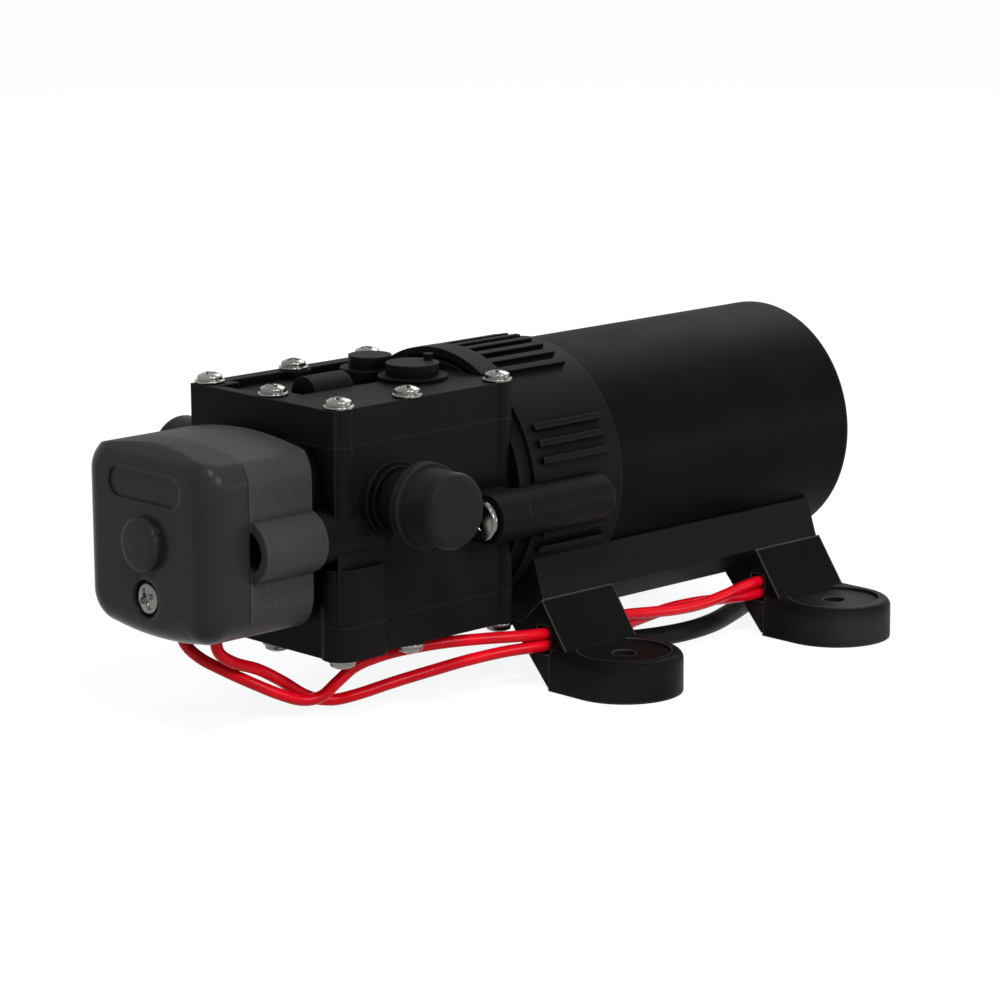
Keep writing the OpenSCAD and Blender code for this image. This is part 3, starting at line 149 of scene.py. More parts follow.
class Graph:
    """The nodes of one material, or of the world.

    WAVE_PERIOD is the wave texture's period at scale 1. MIX_INPUTS and MIX_RESULT are the Mix node's colour sockets.
    """

    RAYS = 6
    NOISE_ROUGHNESS = 0.55
    WAVE_PERIOD = math.pi / 10
    WAVE_DISTORTION = 0.4
    MIX_INPUTS = (6, 7)
    MIX_RESULT = 2
    EDGE_STEP = (0.12, 0.5)
    HOLLOW_STEP = (0.06, 0.4)

    def __init__(self, owner: Any) -> None:
        """Empties the node tree of its owner.

        Args:
            owner: A new material or world.
        """
        owner.use_nodes = True
        self.owner = owner
        self.tree = owner.node_tree
        self.tree.nodes.clear()

    def node(self, kind: str, settings: dict[str, Any], sockets: dict[Any, Any]) -> bpy.types.Node:
        """Adds a node: its settings first, then its sockets' values or links.

        Args:
            kind: The node's type.
            settings: Attributes of the node.
            sockets: Input name or number to a value, a Value or a socket.

        Returns:
            The node.
        """
        made = self.tree.nodes.new(kind)
        for key, setting in settings.items():
            setattr(made, key, setting)
        for key, given in sockets.items():
            source = given.socket if isinstance(given, Value) else given
            if isinstance(source, bpy.types.NodeSocket):
                self.tree.links.new(source, made.inputs[key])
            else:
                made.inputs[key].default_value = source
        return made

    def place(self) -> bpy.types.NodeSocket:
        """The point on the piece, in the row frame."""
        return self.node("ShaderNodeTexCoord", {}, {}).outputs["Object"]

    def height(self) -> Value:
        """The height of the point above the floor, in metres."""
        return Value(self, self.node("ShaderNodeSeparateXYZ", {}, {0: self.place()}).outputs["Z"])

    def upward(self) -> Value:
        """How far the surface faces up, where dust settles, from -1 to 1."""
        facing = self.node("ShaderNodeNewGeometry", {}, {}).outputs["Normal"]
        return Value(self, self.node("ShaderNodeSeparateXYZ", {}, {0: facing}).outputs["Z"])

    def stretched(self, scale: Point) -> bpy.types.NodeSocket:
        """The point on the piece with each axis scaled.

        Args:
            scale: The factor of each axis.

        Returns:
            The scaled point.
        """
        return self.node("ShaderNodeMapping", {}, {"Vector": self.place(), "Scale": scale}).outputs[0]

    def noise(self, size: float, detail: float = 2.0, at: Any = None) -> Value:
        """Soft noise about 0.5.

        Args:
            size: The width of its patches, in metres.
            detail: How many finer layers it has.
            at: The point that it is read at, or the place on the piece.

        Returns:
            The noise.
        """
        made = self.node(
            "ShaderNodeTexNoise",
            {},
            {
                "Vector": self.place() if at is None else at,
                "Scale": 1 / size,
                "Detail": detail,
                "Roughness": self.NOISE_ROUGHNESS,
            },
        )
        return Value(self, made.outputs[0])

    def cells(self, size: float) -> Value:
        """The distance to the nearest of scattered points, in cells.

        Args:
            size: The distance between points, in metres.

        Returns:
            The distance.
        """
        made = self.node("ShaderNodeTexVoronoi", {}, {"Vector": self.place(), "Scale": 1 / size})
        return Value(self, made.outputs["Distance"])

    def bands(self, direction: str, pitch: float) -> Value:
        """Even bands across a direction, from 0 to 1.

        Args:
            direction: X, Y or Z.
            pitch: The distance from band to band, in metres.

        Returns:
            The bands.
        """
        made = self.node(
            "ShaderNodeTexWave",
            {"bands_direction": direction},
            {"Vector": self.place(), "Scale": self.WAVE_PERIOD / pitch, "Distortion": self.WAVE_DISTORTION},
        )
        return Value(self, made.outputs["Fac"])

    def mixed(self, share: Value, first: Any, second: Any) -> bpy.types.NodeSocket:
        """One colour changing into another.

        Args:
            share: 0 for the first colour, 1 for the second.
            first: A colour, or a socket that holds one.
            second: The other colour, or a socket that holds one.

        Returns:
            The mixed colour.
        """
        low, high = self.MIX_INPUTS
        made = self.node("ShaderNodeMix", {"data_type": "RGBA"}, {0: share, low: full(first), high: full(second)})
        return made.outputs[self.MIX_RESULT]

    def soft_edges(self, radius: float) -> bpy.types.NodeSocket:
        """Normals that turn smoothly over the edges.

        Args:
            radius: The radius of the edges, in metres.

        Returns:
            The normals.
        """
        return self.node("ShaderNodeBevel", {"samples": self.RAYS}, {"Radius": radius}).outputs[0]

    def met(self, inside: bool, reach: float) -> Value:
        """The share of short rays from the surface that meet the same piece again.

        Args:
            inside: Whether the rays go into the solid, or out of it.
            reach: The length of the rays, in metres.

        Returns:
            The share, from 0 to 1.
        """
        made = self.node(
            "ShaderNodeAmbientOcclusion",
            {"inside": inside, "only_local": True, "samples": self.RAYS},
            {"Distance": reach},
        )
        return 1.0 - Value(self, made.outputs["AO"])

    def outer_edges(self, width: float) -> Value:
        """Where the surface turns outwards: short rays into the solid meet the next face there.

        Args:
            width: The width of the strip along the edge, in metres.

        Returns:
            0 on a face, rising to 1 at a sharp outer edge.
        """
        return self.met(True, width).smooth(*self.EDGE_STEP)

    def hollows(self, reach: float) -> Value:
        """Where the surface lies deep: short rays out of it meet the faces beside it there.

        Args:
            reach: The length of the rays, in metres.

        Returns:
            0 on an open face, rising to 1 in a narrow groove.
        """
        return self.met(False, reach).smooth(*self.HOLLOW_STEP)

    def bumped(self, height: Value, depth: float, normal: Any = None) -> bpy.types.NodeSocket:
        """Normals that follow a fine relief.

        Args:
            height: The relief, from 0 to 1.
            depth: How deep it is, in metres.
            normal: Normals that it is laid on.

        Returns:
            The normals.
        """
        sockets: dict[Any, Any] = {"Height": height, "Distance": depth}
        if normal is not None:
            sockets["Normal"] = normal
        return self.node("ShaderNodeBump", {}, sockets).outputs[0]

    def close(self, shader: bpy.types.NodeSocket) -> None:
        """Ends the graph in its owner's output.

        Args:
            shader: The shader that shows.
        """
        of_world = isinstance(self.owner, bpy.types.World)
        self.node("ShaderNodeOutputWorld" if of_world else "ShaderNodeOutputMaterial", {}, {"Surface": shader})


def full(colour: Any) -> Any:
    """A colour with its alpha, or a socket as it is.

    Args:
        colour: Three numbers, or a socket.

    Returns:
        Four numbers, or the socket.
    """
    return (*colour, 1.0) if isinstance(colour, tuple) else colour


def scaled(colour: Colour, factor: float) -> Colour:
    """A colour made lighter or darker by a factor.

    Args:
        colour: Three numbers.
        factor: What each is multiplied by.

    Returns:
        The new colour.
    """
    return (colour[0] * factor, colour[1] * factor, colour[2] * factor)


class Grain(Enum):
    """How a finish varies over its surface."""

    ENAMEL = "sprayed enamel with a faint orange peel"
    MOULDED = "moulded plastic with a fine texture and pale flecks"
    FILLED = "glass-filled plastic with short bright fibres"
    RUBBER = "soft rubber with a dusty bloom"
    PLATED = "bright plating with faint scratches"
    TURNED = "turned metal with tool marks along the shaft"
    STACKED = "stamped sheets stacked along the shaft"
    WOUND = "enamelled wire laid side by side"
    PRESSED = "pressed powder"
    SHEATH = "extruded insulation"


@dataclass(frozen=True)
class Finish:
    """One finish of the pump: colour, gloss and texture, with painted highlights on its outer edges, painted shade in
    its hollows, and dust where it lies flat or low.
    """

    CLOUD = 18 * MM
    FLECK_PATCH = 3 * MM
    SCRATCH = 0.5 * MM
    SHEET = 0.5 * MM
    SHEATH_WAVE = 6 * MM
    DUST_PATCH = 20 * MM
    DUST_FADE = 0.55
    DUST_STEP = (0.25, 0.8)
    DUST_SHARE = 0.75
    FLAT_STEP = (0.5, 0.95)
    # Patch size and width, against the edge radius, of the painted highlight on outer edges.
    HIGHLIGHT_PATCH = 2.5 * MM
    HIGHLIGHT_WIDTH = 1.3
    BASE_SHADE = 0.85
    # How dark the painted shade in hollows goes, as a share of the colour.
    HOLLOW_SHADE = 0.12

    slot: str
    grain: Grain
    colour: Colour
    roughness: float
    specular: float = 0.12
    metallic: float = 0.0
    texture: float = 0.3 * MM
    depth: float = 0.012 * MM
    fleck: float = 0.0
    spread: float = 1.9
    edge: float = 0.3 * MM
    # Painted highlight on outer edges: how strong it is, and how much lighter than the colour.
    edge_highlight: float = 0.0
    edge_highlight_gain: float = 5.0
    dusty_below: float = 0.0
    settled: float = 0.0
    # Painted shade in hollows: how strong it is, and how far the rays that find the hollows reach.
    sunk: float = 0.0
    sunk_reach: float = 1.5 * MM

    def relief(self, graph: Graph) -> tuple[Value, Value, Value]:
        """The finish's own pattern.

        Args:
            graph: The graph that it is made in.

        Returns:
            The relief for the bump, the share of the pale colour, and the change of roughness.
        """
        cloud = graph.noise(self.CLOUD, 3.0)
        fine = graph.noise(self.texture, 2.0)
        if self.grain is Grain.ENAMEL:
            peel = graph.noise(4 * self.texture, 1.0)
            return peel * 0.7 + fine * 0.3, (cloud - 0.5) * 1.3 + fine * 0.2 + 0.2, (cloud - 0.5) * 0.2
        if self.grain is Grain.MOULDED:
            flecks = 1.0 - graph.cells(4 * self.texture).smooth(0.08, 0.2)
            patch = graph.noise(self.FLECK_PATCH, 2.0).smooth(0.5, 0.72)
            return fine, flecks * patch * self.fleck + (cloud - 0.5) * 0.5 + 0.2, (fine - 0.5) * 0.2
        if self.grain is Grain.FILLED:
            along = graph.noise(self.texture, 1.0, graph.stretched((1.0, 0.35, 0.6)))
            fibres = along.smooth(0.56, 0.72)
            return fine * 0.6 + fibres * 0.4, fibres * self.fleck + (cloud - 0.5) * 0.5 + 0.2, (fine - 0.5) * 0.25
        if self.grain is Grain.RUBBER:
            bloom = cloud.smooth(0.45, 0.75)
            return fine, bloom * self.fleck + fine * 0.15, bloom * 0.12
        if self.grain is Grain.PLATED:
            scratch = graph.noise(self.SCRATCH, 2.0, graph.stretched((1.0, 9.0, 1.0))).smooth(0.55, 0.75)
            return scratch, cloud.smooth(0.4, 0.8) * 0.5 + scratch * 0.2, scratch * 0.18
        if self.grain is Grain.TURNED:
            marks = graph.bands("X", self.texture)
            return marks, cloud * 0.6, (marks - 0.5) * 0.15
        if self.grain is Grain.STACKED:
            sheets = graph.bands("X", self.SHEET)
            return sheets, sheets * 0.5 + cloud * 0.3, (sheets - 0.5) * 0.2
        if self.grain is Grain.WOUND:
            turns = graph.bands("Z", self.texture)
            return turns, turns * 0.6, (turns - 0.5) * 0.2
        if self.grain is Grain.SHEATH:
            wave = graph.noise(self.SHEATH_WAVE, 1.0)
            return wave * 0.6 + fine * 0.4, wave.smooth(0.35, 0.75) * 0.6, (wave - 0.5) * 0.2
        return fine, fine * 0.4 + cloud * 0.3, (fine - 0.5) * 0.25

    def build(self) -> bpy.types.Material:
        """Makes the material: pattern, dust, painted shade in hollows, painted highlights on outer edges and relief on
        one shader.

        Returns:
            The material.
        """
        graph = Graph(bpy.data.materials.new(self.slot))
        height, pale, rough = self.relief(graph)
        if self.dusty_below > 0:
            low = 1.0 - graph.height().smooth(self.DUST_FADE * self.dusty_below, self.dusty_below)
            patchy = graph.noise(self.DUST_PATCH, 1.0).smooth(*self.DUST_STEP)
            pale = pale + low * patchy * self.DUST_SHARE
        shown = graph.mixed(pale.held(), scaled(self.colour, self.BASE_SHADE), scaled(self.colour, self.spread))
        if self.settled > 0:
            rough = rough + graph.upward().smooth(*self.FLAT_STEP) * self.settled
        normal = graph.soft_edges(self.edge) if self.edge > 0 else None
        # Painted shade: the colour darkens where short rays meet nearby faces, in creases, recesses and grooves.
        if self.sunk > 0:
            deep = graph.hollows(self.sunk_reach) * self.sunk
            shown = graph.mixed(deep, shown, scaled(self.colour, self.HOLLOW_SHADE))
        # Painted highlight: outer edges are lightened in patches to stand for the bright lines that lamps leave on
        # them.
        if self.edge_highlight > 0:
            uneven = graph.noise(self.HIGHLIGHT_PATCH, 3.0) * 0.8 + 0.6
            painted_highlight = graph.outer_edges(self.HIGHLIGHT_WIDTH * self.edge) * uneven * self.edge_highlight
            shown = graph.mixed(painted_highlight.held(), shown, scaled(self.colour, self.edge_highlight_gain))
        shader = graph.node(
            "ShaderNodeBsdfPrincipled",
            {},
            {
                "Base Color": shown,
                "Roughness": (rough + self.roughness).held(),
                "Normal": graph.bumped(height, self.depth, normal),
                "Metallic": self.metallic,
                "Specular IOR Level": self.specular,
            },
        )
        graph.close(shader.outputs[0])
        return graph.owner


# Darkened hollows in these finishes are painted shade, and lightened outer edges are painted highlights.
FINISHES = (
    Finish(
        "can_black", Grain.ENAMEL, (0.0042, 0.0035, 0.0043), 0.42, 0.022,
        texture=0.25 * MM, edge_highlight=0.3, settled=0.15,
    ),
    Finish(
        "head_black", Grain.MOULDED, (0.0085, 0.0073, 0.0078), 0.42, 0.03,
        fleck=0.4, edge_highlight=0.3, edge_highlight_gain=6.0, settled=0.15, sunk=0.9, sunk_reach=4.0 * MM,
    ),
    Finish(
        "cover_grey", Grain.MOULDED, (0.0255, 0.0256, 0.0282), 0.24, 0.08,
        fleck=0.2, edge=1.2 * MM, settled=0.4, sunk=0.8,
    ),
    Finish(
        "base_grey", Grain.FILLED, (0.043, 0.043, 0.0405), 0.42, 0.07,
        fleck=0.35, edge=0.7 * MM, edge_highlight=0.35, edge_highlight_gain=2.2, settled=0.2, sunk=0.7,
    ),
    Finish(
        "foot_rubber", Grain.RUBBER, (0.0028, 0.0025, 0.0025), 0.42, 0.022,
        fleck=0.06, spread=15.0, edge=0.4 * MM, edge_highlight=0.8, edge_highlight_gain=40.0, dusty_below=8.5 * MM,
    ),
    Finish(
        "cap_black", Grain.RUBBER, (0.014, 0.0126, 0.0134), 0.42, 0.05,
        fleck=0.3, edge=0.5 * MM, edge_highlight=0.4, edge_highlight_gain=4.0,
    ),
    Finish("seal_rubber", Grain.RUBBER, (0.008, 0.008, 0.008), 0.6, 0.06, fleck=0.3),
    Finish(
        "nickel", Grain.PLATED, (0.2, 0.195, 0.185), 0.18, 0.5, 1.0,
        depth=0.004 * MM, edge=0.08 * MM, sunk=0.97, sunk_reach=0.9 * MM,
    ),
    Finish(
        "steel", Grain.TURNED, (0.45, 0.45, 0.46), 0.3, 0.5, 1.0,
        texture=0.2 * MM, depth=0.004 * MM, edge=0.08 * MM,
    ),
    Finish("lamination", Grain.STACKED, (0.16, 0.16, 0.165), 0.5, 0.4, 0.8, depth=0.03 * MM, edge=0.1 * MM),
    Finish("magnet", Grain.PRESSED, (0.1, 0.1, 0.105), 0.7, 0.3, texture=0.4 * MM, depth=0.02 * MM, edge=0.2 * MM),
    Finish("copper", Grain.WOUND, (0.5, 0.2, 0.08), 0.35, 0.5, 0.9, texture=0.5 * MM, depth=0.08 * MM, edge=0.1 * MM),
    Finish("bronze", Grain.PRESSED, (0.4, 0.24, 0.09), 0.45, 0.5, 0.9, texture=0.15 * MM, edge=0.1 * MM),
    Finish("phenolic", Grain.PRESSED, (0.12, 0.05, 0.025), 0.6, 0.3, texture=0.6 * MM, edge=0.15 * MM),
    Finish("carbon", Grain.PRESSED, (0.03, 0.03, 0.031), 0.6, 0.3, texture=0.1 * MM, edge=0.1 * MM),
    Finish("valve_plastic", Grain.MOULDED, (0.08, 0.08, 0.085), 0.5, 0.3, fleck=0.2),
    Finish("lead_red", Grain.SHEATH, (0.88, 0.003, 0.016), 0.2, 0.12, texture=0.2 * MM, spread=1.2, edge=0.0),
    Finish("cable_black", Grain.SHEATH, (0.009, 0.009, 0.0095), 0.45, 0.08, texture=0.3 * MM, edge=0.0),
    Finish("button_red", Grain.MOULDED, (0.4, 0.02, 0.02), 0.4, 0.3, fleck=0.1),
)


def linked(name: str, data: bpy.types.ID) -> bpy.types.Object:
    """Puts data into a new object of the scene, at the origin.

    Args:
        name: The object's name.
        data: A mesh, curve, lamp or camera.

    Returns:
        The object.
    """
    made = bpy.data.objects.new(name, data)
    bpy.context.scene.collection.objects.link(made)
    return made


@dataclass
class Shape:
    """Points and faces of a piece, before it is a mesh."""

    points: np.ndarray
    faces: list[list[int]]

    def placed(self, origin: Iterable[float], turn: np.ndarray) -> "Shape":
        """The shape turned about its own origin and set at a place.

        Args:
            origin: The place, in metres.
            turn: A rotation matrix.

        Returns:
            The placed shape.
        """
        return Shape(self.points @ turn.T + np.array(list(origin)), self.faces)

    @staticmethod
    def joined(parts: Iterable["Shape"]) -> "Shape":
        """Several shapes as one.

        Args:
            parts: The shapes.

        Returns:
            One shape that holds them all.
        """
        points, faces, start = [], [], 0
        for part in parts:
            points.append(part.points)
            faces.extend([[i + start for i in face] for face in part.faces])
            start += len(part.points)
        return Shape(np.concatenate(points), faces)

    def mesh(self, name: str) -> bpy.types.Object:
        """Puts the shape into a new smooth mesh object at the origin.

        Args:
            name: The piece's name.

        Returns:
            The object.
        """
        data = bpy.data.meshes.new(name)
        data.from_pydata(self.points.tolist(), [], self.faces)
        data.shade_smooth()
        data.update()
        return linked(name, data)


def wrapped(rings: np.ndarray) -> Shape:
    """Closes a grid of rings into one skin, with a point at each end at the mean of its last ring.

    Args:
        rings: Points as rings, sides and axes.

    Returns:
        The closed shape.
    """
    count, sides = rings.shape[:2]
    ring, side = np.meshgrid(np.arange(count - 1), np.arange(sides), indexing="ij")
    after = (side + 1) % sides
    here, there = ring * sides, (ring + 1) * sides
    quads = np.stack([here + side, here + after, there + after, there + side], 2)
    first, last = count * sides, count * sides + 1
    k = np.arange(sides)
    step = (k + 1) % sides
    start = np.stack([np.full(sides, first), step, k], 1)
    end = np.stack([np.full(sides, last), (count - 1) * sides + k, (count - 1) * sides + step], 1)
    points = np.concatenate([rings.reshape(-1, 3), [rings[0].mean(0)], [rings[-1].mean(0)]])
    return Shape(points, quads.reshape(-1, 4).tolist() + start.tolist() + end.tolist())


def eased(route: np.ndarray, per_span: int) -> np.ndarray:
    """A smooth curve through a route: each span is a cubic whose ends head along the chord of their neighbours.

    Args:
        route: The points.
        per_span: Points made for each span.

    Returns:
        The curve's points, the route's own among them.
    """
    before = np.concatenate([2 * route[:1] - route[1:2], route[:-1]])
    after = np.concatenate([route[1:], 2 * route[-1:] - route[-2:-1]])
    heading = (after - before) / 2
    t = np.linspace(0, 1, per_span, endpoint=False)[None, :, None]
    a, b, u, v = route[:-1, None], route[1:, None], heading[:-1, None], heading[1:, None]
    spans = (
        (2 * t**3 - 3 * t**2 + 1) * a + (t**3 - 2 * t**2 + t) * u + (3 * t**2 - 2 * t**3) * b + (t**3 - t**2) * v
    )
    return np.concatenate([spans.reshape(-1, 3), route[-1:]])


def headings(line: np.ndarray) -> np.ndarray:
    """The way that a line heads at each of its points.

    Args:
        line: The points.

    Returns:
        A unit vector for each point.
    """
    heading = np.gradient(line, axis=0)
    return heading / np.linalg.norm(heading, axis=1, keepdims=True)


def tube(line: np.ndarray, across: np.ndarray, over: np.ndarray, radius: np.ndarray, sides: int) -> Shape:
    """A closed tube with a ring at each point of a line.

    Args:
        line: The ring centres.
        across: A unit vector in each ring's plane.
        over: The one square to it.
        radius: The radius of each ring and side, or of each ring.
        sides: Points round a ring.

    Returns:
        The closed tube.
    """
    angle = np.linspace(0, 2 * np.pi, sides, endpoint=False)[None, :, None]
    reach = np.broadcast_to(radius.reshape(len(line), -1, 1), (len(line), sides, 1))
    return wrapped(line[:, None] + reach * (np.cos(angle) * across[:, None] + np.sin(angle) * over[:, None]))


def swept(line: np.ndarray, radius: np.ndarray, sides: int) -> Shape:
    """A tube along a line that lies flat enough never to point straight up: each ring is square to the line.

    Args:
        line: The ring centres.
        radius: The radius of each ring and side, or of each ring.
        sides: Points round a ring.

    Returns:
        The closed tube.
    """
    heading = headings(line)
    across = np.cross(heading, Axis.UP.value)
    across /= np.linalg.norm(across, axis=1, keepdims=True)
    return tube(line, across, np.cross(across, heading), radius, sides)


class Axis(Enum):
    """Which way a screw's head looks."""

    UP = (0.0, 0.0, 1.0)
    DOWN = (0.0, 0.0, -1.0)
    FORWARD = (-1.0, 0.0, 0.0)

    def turned(self, degrees: float) -> np.ndarray:
        """The rotation that points +Z along this axis after a turn about it.

        Args:
            degrees: The turn of the cross recess.

        Returns:
            A rotation matrix.
        """
        look = Vector(self.value)
        rotation = look.to_track_quat("Z", "Y") if self is not Axis.UP else Matrix.Identity(3).to_quaternion()
        return np.array(rotation.to_matrix() @ Matrix.Rotation(math.radians(degrees), 3, "Z"))


@dataclass(frozen=True)
class PanScrew:
    """A pan-head screw with a washer rim, a cross recess and a thread, along +Z with its seat at z = 0.

    The dome, the arms and the constants are shares of the head's radius or height, and THREAD of the shank's radius. A
    dome of 1 leaves the rim out.
    """

    CROWN = 0.92
    CROWN_FALL = 0.36
    SHOULDER_FALL = 0.24
    RIM_TOP = 0.27
    RIM_BEAD = 0.95
    RECESS = 0.62
    RECESS_SOFT = 0.04
    THREAD = 0.16

    shank_r: float
    length: float
    head_r: float
    head_h: float
    dome: float = 0.84
    arm: float = 0.48
    arm_half: float = 0.1
    pitch: float = 0.9 * MM
    sides: int = 72

    def profile(self) -> tuple[np.ndarray, np.ndarray, int, int]:
        """The half outline from the crown down to the tip.

        Returns:
            Radii, heights, the number of rings on the crown, and the ring where the thread starts.
        """
        top, rim, h = self.dome * self.head_r, self.head_r, self.head_h
        crown = np.linspace(0.03, self.CROWN, 26) * top
        round_off = np.linspace(0, np.pi / 2, 7)
        crown_z = h * (1 - self.CROWN_FALL * (crown / top) ** 2)
        radii = [crown, (self.CROWN + (1 - self.CROWN) * np.sin(round_off)) * top]
        heights = [crown_z, crown_z[-1] - self.SHOULDER_FALL * h * (1 - np.cos(round_off))]
        if top < rim:
            bead = np.linspace(0.1 * np.pi, np.pi / 2, 5)
            radii += [
                np.full(1, top),
                np.linspace(1.02 * top, self.RIM_BEAD * rim, 3),
                rim * (self.RIM_BEAD + (1 - self.RIM_BEAD) * np.sin(bead)),
            ]
            heights += [np.full(1, 0.3 * h), np.full(3, self.RIM_TOP * h), h * (0.14 + 0.13 * np.cos(bead))]
        radii.append(rim * np.array([1.0, 0.97]))
        heights.append(np.array([0.06, 0.0]) * h)
        start = sum(len(r) for r in radii)
        turns = max(6, round(self.length / self.pitch))
        down = np.linspace(0, 1, turns * 4 + 1)
        radii += [np.full(len(down), self.shank_r), np.array([0.7, 0.3]) * self.shank_r]
        heights += [-down * (self.length - 0.8 * self.shank_r), np.array([0.5, 0.05]) * self.shank_r - self.length]
        return np.concatenate(radii), np.concatenate(heights), len(crown), start

    def shape(self) -> Shape:
        """The screw's skin: the profile carried round, sunk by a soft cross on the crown and grooved by a helix.

        Returns:
            The closed shape.
        """
        radii, heights, crowned, start = self.profile()
        angle = np.linspace(0, 2 * np.pi, self.sides, endpoint=False)
        ring, turn = np.meshgrid(radii, angle, indexing="ij")
        height = np.repeat(heights[:, None], self.sides, 1)
        x, y = np.abs(ring * np.cos(turn)), np.abs(ring * np.sin(turn))
        arm, half, soft = (share * self.head_r for share in (self.arm, self.arm_half, self.RECESS_SOFT))

        def wall(inside: np.ndarray) -> np.ndarray:
            """A soft step from 0 outside to 1 inside."""
            t = np.clip(inside / soft * 0.5 + 0.5, 0, 1)
            return t * t * (3 - 2 * t)

        flare = half * (1.35 - 0.6 * np.minimum(ring / arm, 1))
        cross = np.maximum(wall(arm - x) * wall(flare - y), wall(arm - y) * wall(flare - x))
        sink = self.RECESS * self.head_h * cross * (1.1 - 0.75 * np.minimum(ring / arm, 1))
        height[:crowned] -= sink[:crowned]
        groove = np.abs(((heights[start:, None] / self.pitch + turn[start:] / (2 * np.pi)) % 1.0) - 0.5) * 2
        fade = np.clip((heights[start:, None] + self.length) / self.pitch, 0, 1)
        ring[start:] *= 1 - self.THREAD * groove * fade
        return wrapped(np.stack([ring * np.cos(turn), ring * np.sin(turn), height], 2)[::-1])


@dataclass
class ScrewSet:
    """Screws of one size that stand for one node, with seats in millimetres and a turn in degrees between them."""

    node: str
    screw: PanScrew
    axis: Axis
    seats: list[Point]
    turn: float = 37.0

    def build(self) -> bpy.types.Object:
        """Makes every screw of the set in one piece.

        Returns:
            The piece.
        """
        one = self.screw.shape()
        parts = [
            one.placed(np.array(seat) * MM, self.axis.turned(self.turn * count))
            for count, seat in enumerate(self.seats, 1)
        ]
        return Shape.joined(parts).mesh(f"fine_{self.node}")


@dataclass
class Fastenings:
    """All the screws that show on the pump, with their seats in millimetres."""

    head_top: float = 60.2
    head_bottom: float = 13.0
    side: float = 18.6
    front_row: float = -86.3
    rear_row: float = -46.3
    near_middle: float = -69.4
    far_middle: float = -65.4
    motor_seat: Point = (-56.7, 26.5, 35.9)
    ear_seat: Point = (-96.9, 17.0, 36.3)
    cover_seat: Point = (-115.9, 0.0, 26.4)

    def rows(self, height: float) -> list[Point]:
        """The seats of the seven cover screws at a height.

        Args:
            height: The seats' height, in millimetres.

        Returns:
            The seats.
        """
        front, rear, y = self.front_row, self.rear_row, self.side
        middle = [(self.near_middle, -y), (self.far_middle, y)]
        flat = [(front, -y), (front, 0.0), (front, y), *middle, (rear, -y), (rear, y)]
        return [(x, across, height) for x, across in flat]

    @staticmethod
    def pair(seat: Point) -> list[Point]:
        """A seat and its mirror image across the middle plane.

        Args:
            seat: The seat on the far side.

        Returns:
            Both seats.
        """
        x, y, z = seat
        return [(x, -y, z), (x, y, z)]

    def build(self) -> list[tuple[bpy.types.Object, str]]:
        """Makes the five sets of screws.

        Returns:
            Each piece with the node that it stands for.
        """
        top = PanScrew(shank_r=1.5 * MM, length=17 * MM, head_r=2.9 * MM, head_h=2.1 * MM)
        bottom = replace(top, length=16.5 * MM)
        ear = replace(top, length=12.7 * MM)
        motor = PanScrew(shank_r=1.9 * MM, length=26.3 * MM, head_r=3.9 * MM, head_h=2.7 * MM, dome=1.0)
        cover = PanScrew(
            shank_r=1.25 * MM, length=13.5 * MM, head_r=2.9 * MM, head_h=1.8 * MM, dome=1.0, arm=0.72, arm_half=0.17
        )
        sets = [
            ScrewSet("top_screws", top, Axis.UP, self.rows(self.head_top)),
            ScrewSet("bottom_screws", bottom, Axis.DOWN, self.rows(self.head_bottom), 53.0),
            ScrewSet("motor_screws", motor, Axis.FORWARD, self.pair(self.motor_seat)),
            ScrewSet("switch_screws", ear, Axis.FORWARD, self.pair(self.ear_seat)),
            ScrewSet("cover_screw", cover, Axis.FORWARD, [self.cover_seat], 25.0),
        ]
        return [(s.build(), s.node) for s in sets]


@dataclass
class ReturnSpring:
    """The coil spring behind the switch's plunger, seated on the switch base, in millimetres."""

    seat: Point = (-99.85, 0.0, 37.8)
    length: float = 4.2
    radius: float = 4.4
    wire: float = 0.8
    turns: int = 3
    steps: int = 48
    sides: int = 16
    travel: float = 1.2

    def build(self) -> bpy.types.Object:
        """Makes the coil as a round wire along a helix.

        Returns:
            The piece.
        """
        share = np.linspace(0, 1, self.steps * self.turns + 1)
        turn = 2 * np.pi * self.turns * share
        outward = np.stack([np.zeros_like(turn), np.cos(turn), np.sin(turn)], 1)
        line = np.array(self.seat) + self.radius * outward
        line[:, 0] += self.wire / 2 + (self.length - self.wire) * share
        beside = np.cross(outward, headings(line))
        radius = np.full(len(line), self.wire / 2 * MM)
        return tube(line * MM, outward, beside, radius, self.sides).mesh("coil_switch_spring")

    def yields(self, made: bpy.types.Object) -> None:
        """Gives the coil a mesh of its own; nothing makes it shorten with the plunger.

        Args:
            made: The piece.
        """
        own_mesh(made)


@dataclass
class Lead:
    """A free cord that follows the route of its CAD tube, which is in millimetres."""

    PER_SPAN = 6
    ROUNDNESS = 5

    node: str
    diameter: float
    route: np.ndarray
    length: float
    far_end: str
    stiffness: str
    slot: str

    def build(self) -> bpy.types.Object:
        """Makes the cord as one open spline with a round section.

        Returns:
            The piece.
        """
        name = f"free_{self.node}"
        line = eased(self.route * MM, self.PER_SPAN)
        data = bpy.data.curves.new(name, "CURVE")
        data.dimensions = "3D"
        data.bevel_depth = self.diameter / 2
        data.bevel_resolution = self.ROUNDNESS
        data.use_fill_caps = True
        spline = data.splines.new("POLY")
        spline.points.add(len(line) - 1)
        spline.points.foreach_set("co", np.column_stack([line, np.ones(len(line))]).astype(np.float32).ravel())
        spline.use_smooth = True
        return linked(name, data)

    def declare(self, made: bpy.types.Object, with_pieces: list[bpy.types.Object]) -> None:
        """Takes no step: the piece is not declared as a free cord.

        Args:
            made: The piece. Not used.
            with_pieces: The separate pieces on it. Not used.
        """


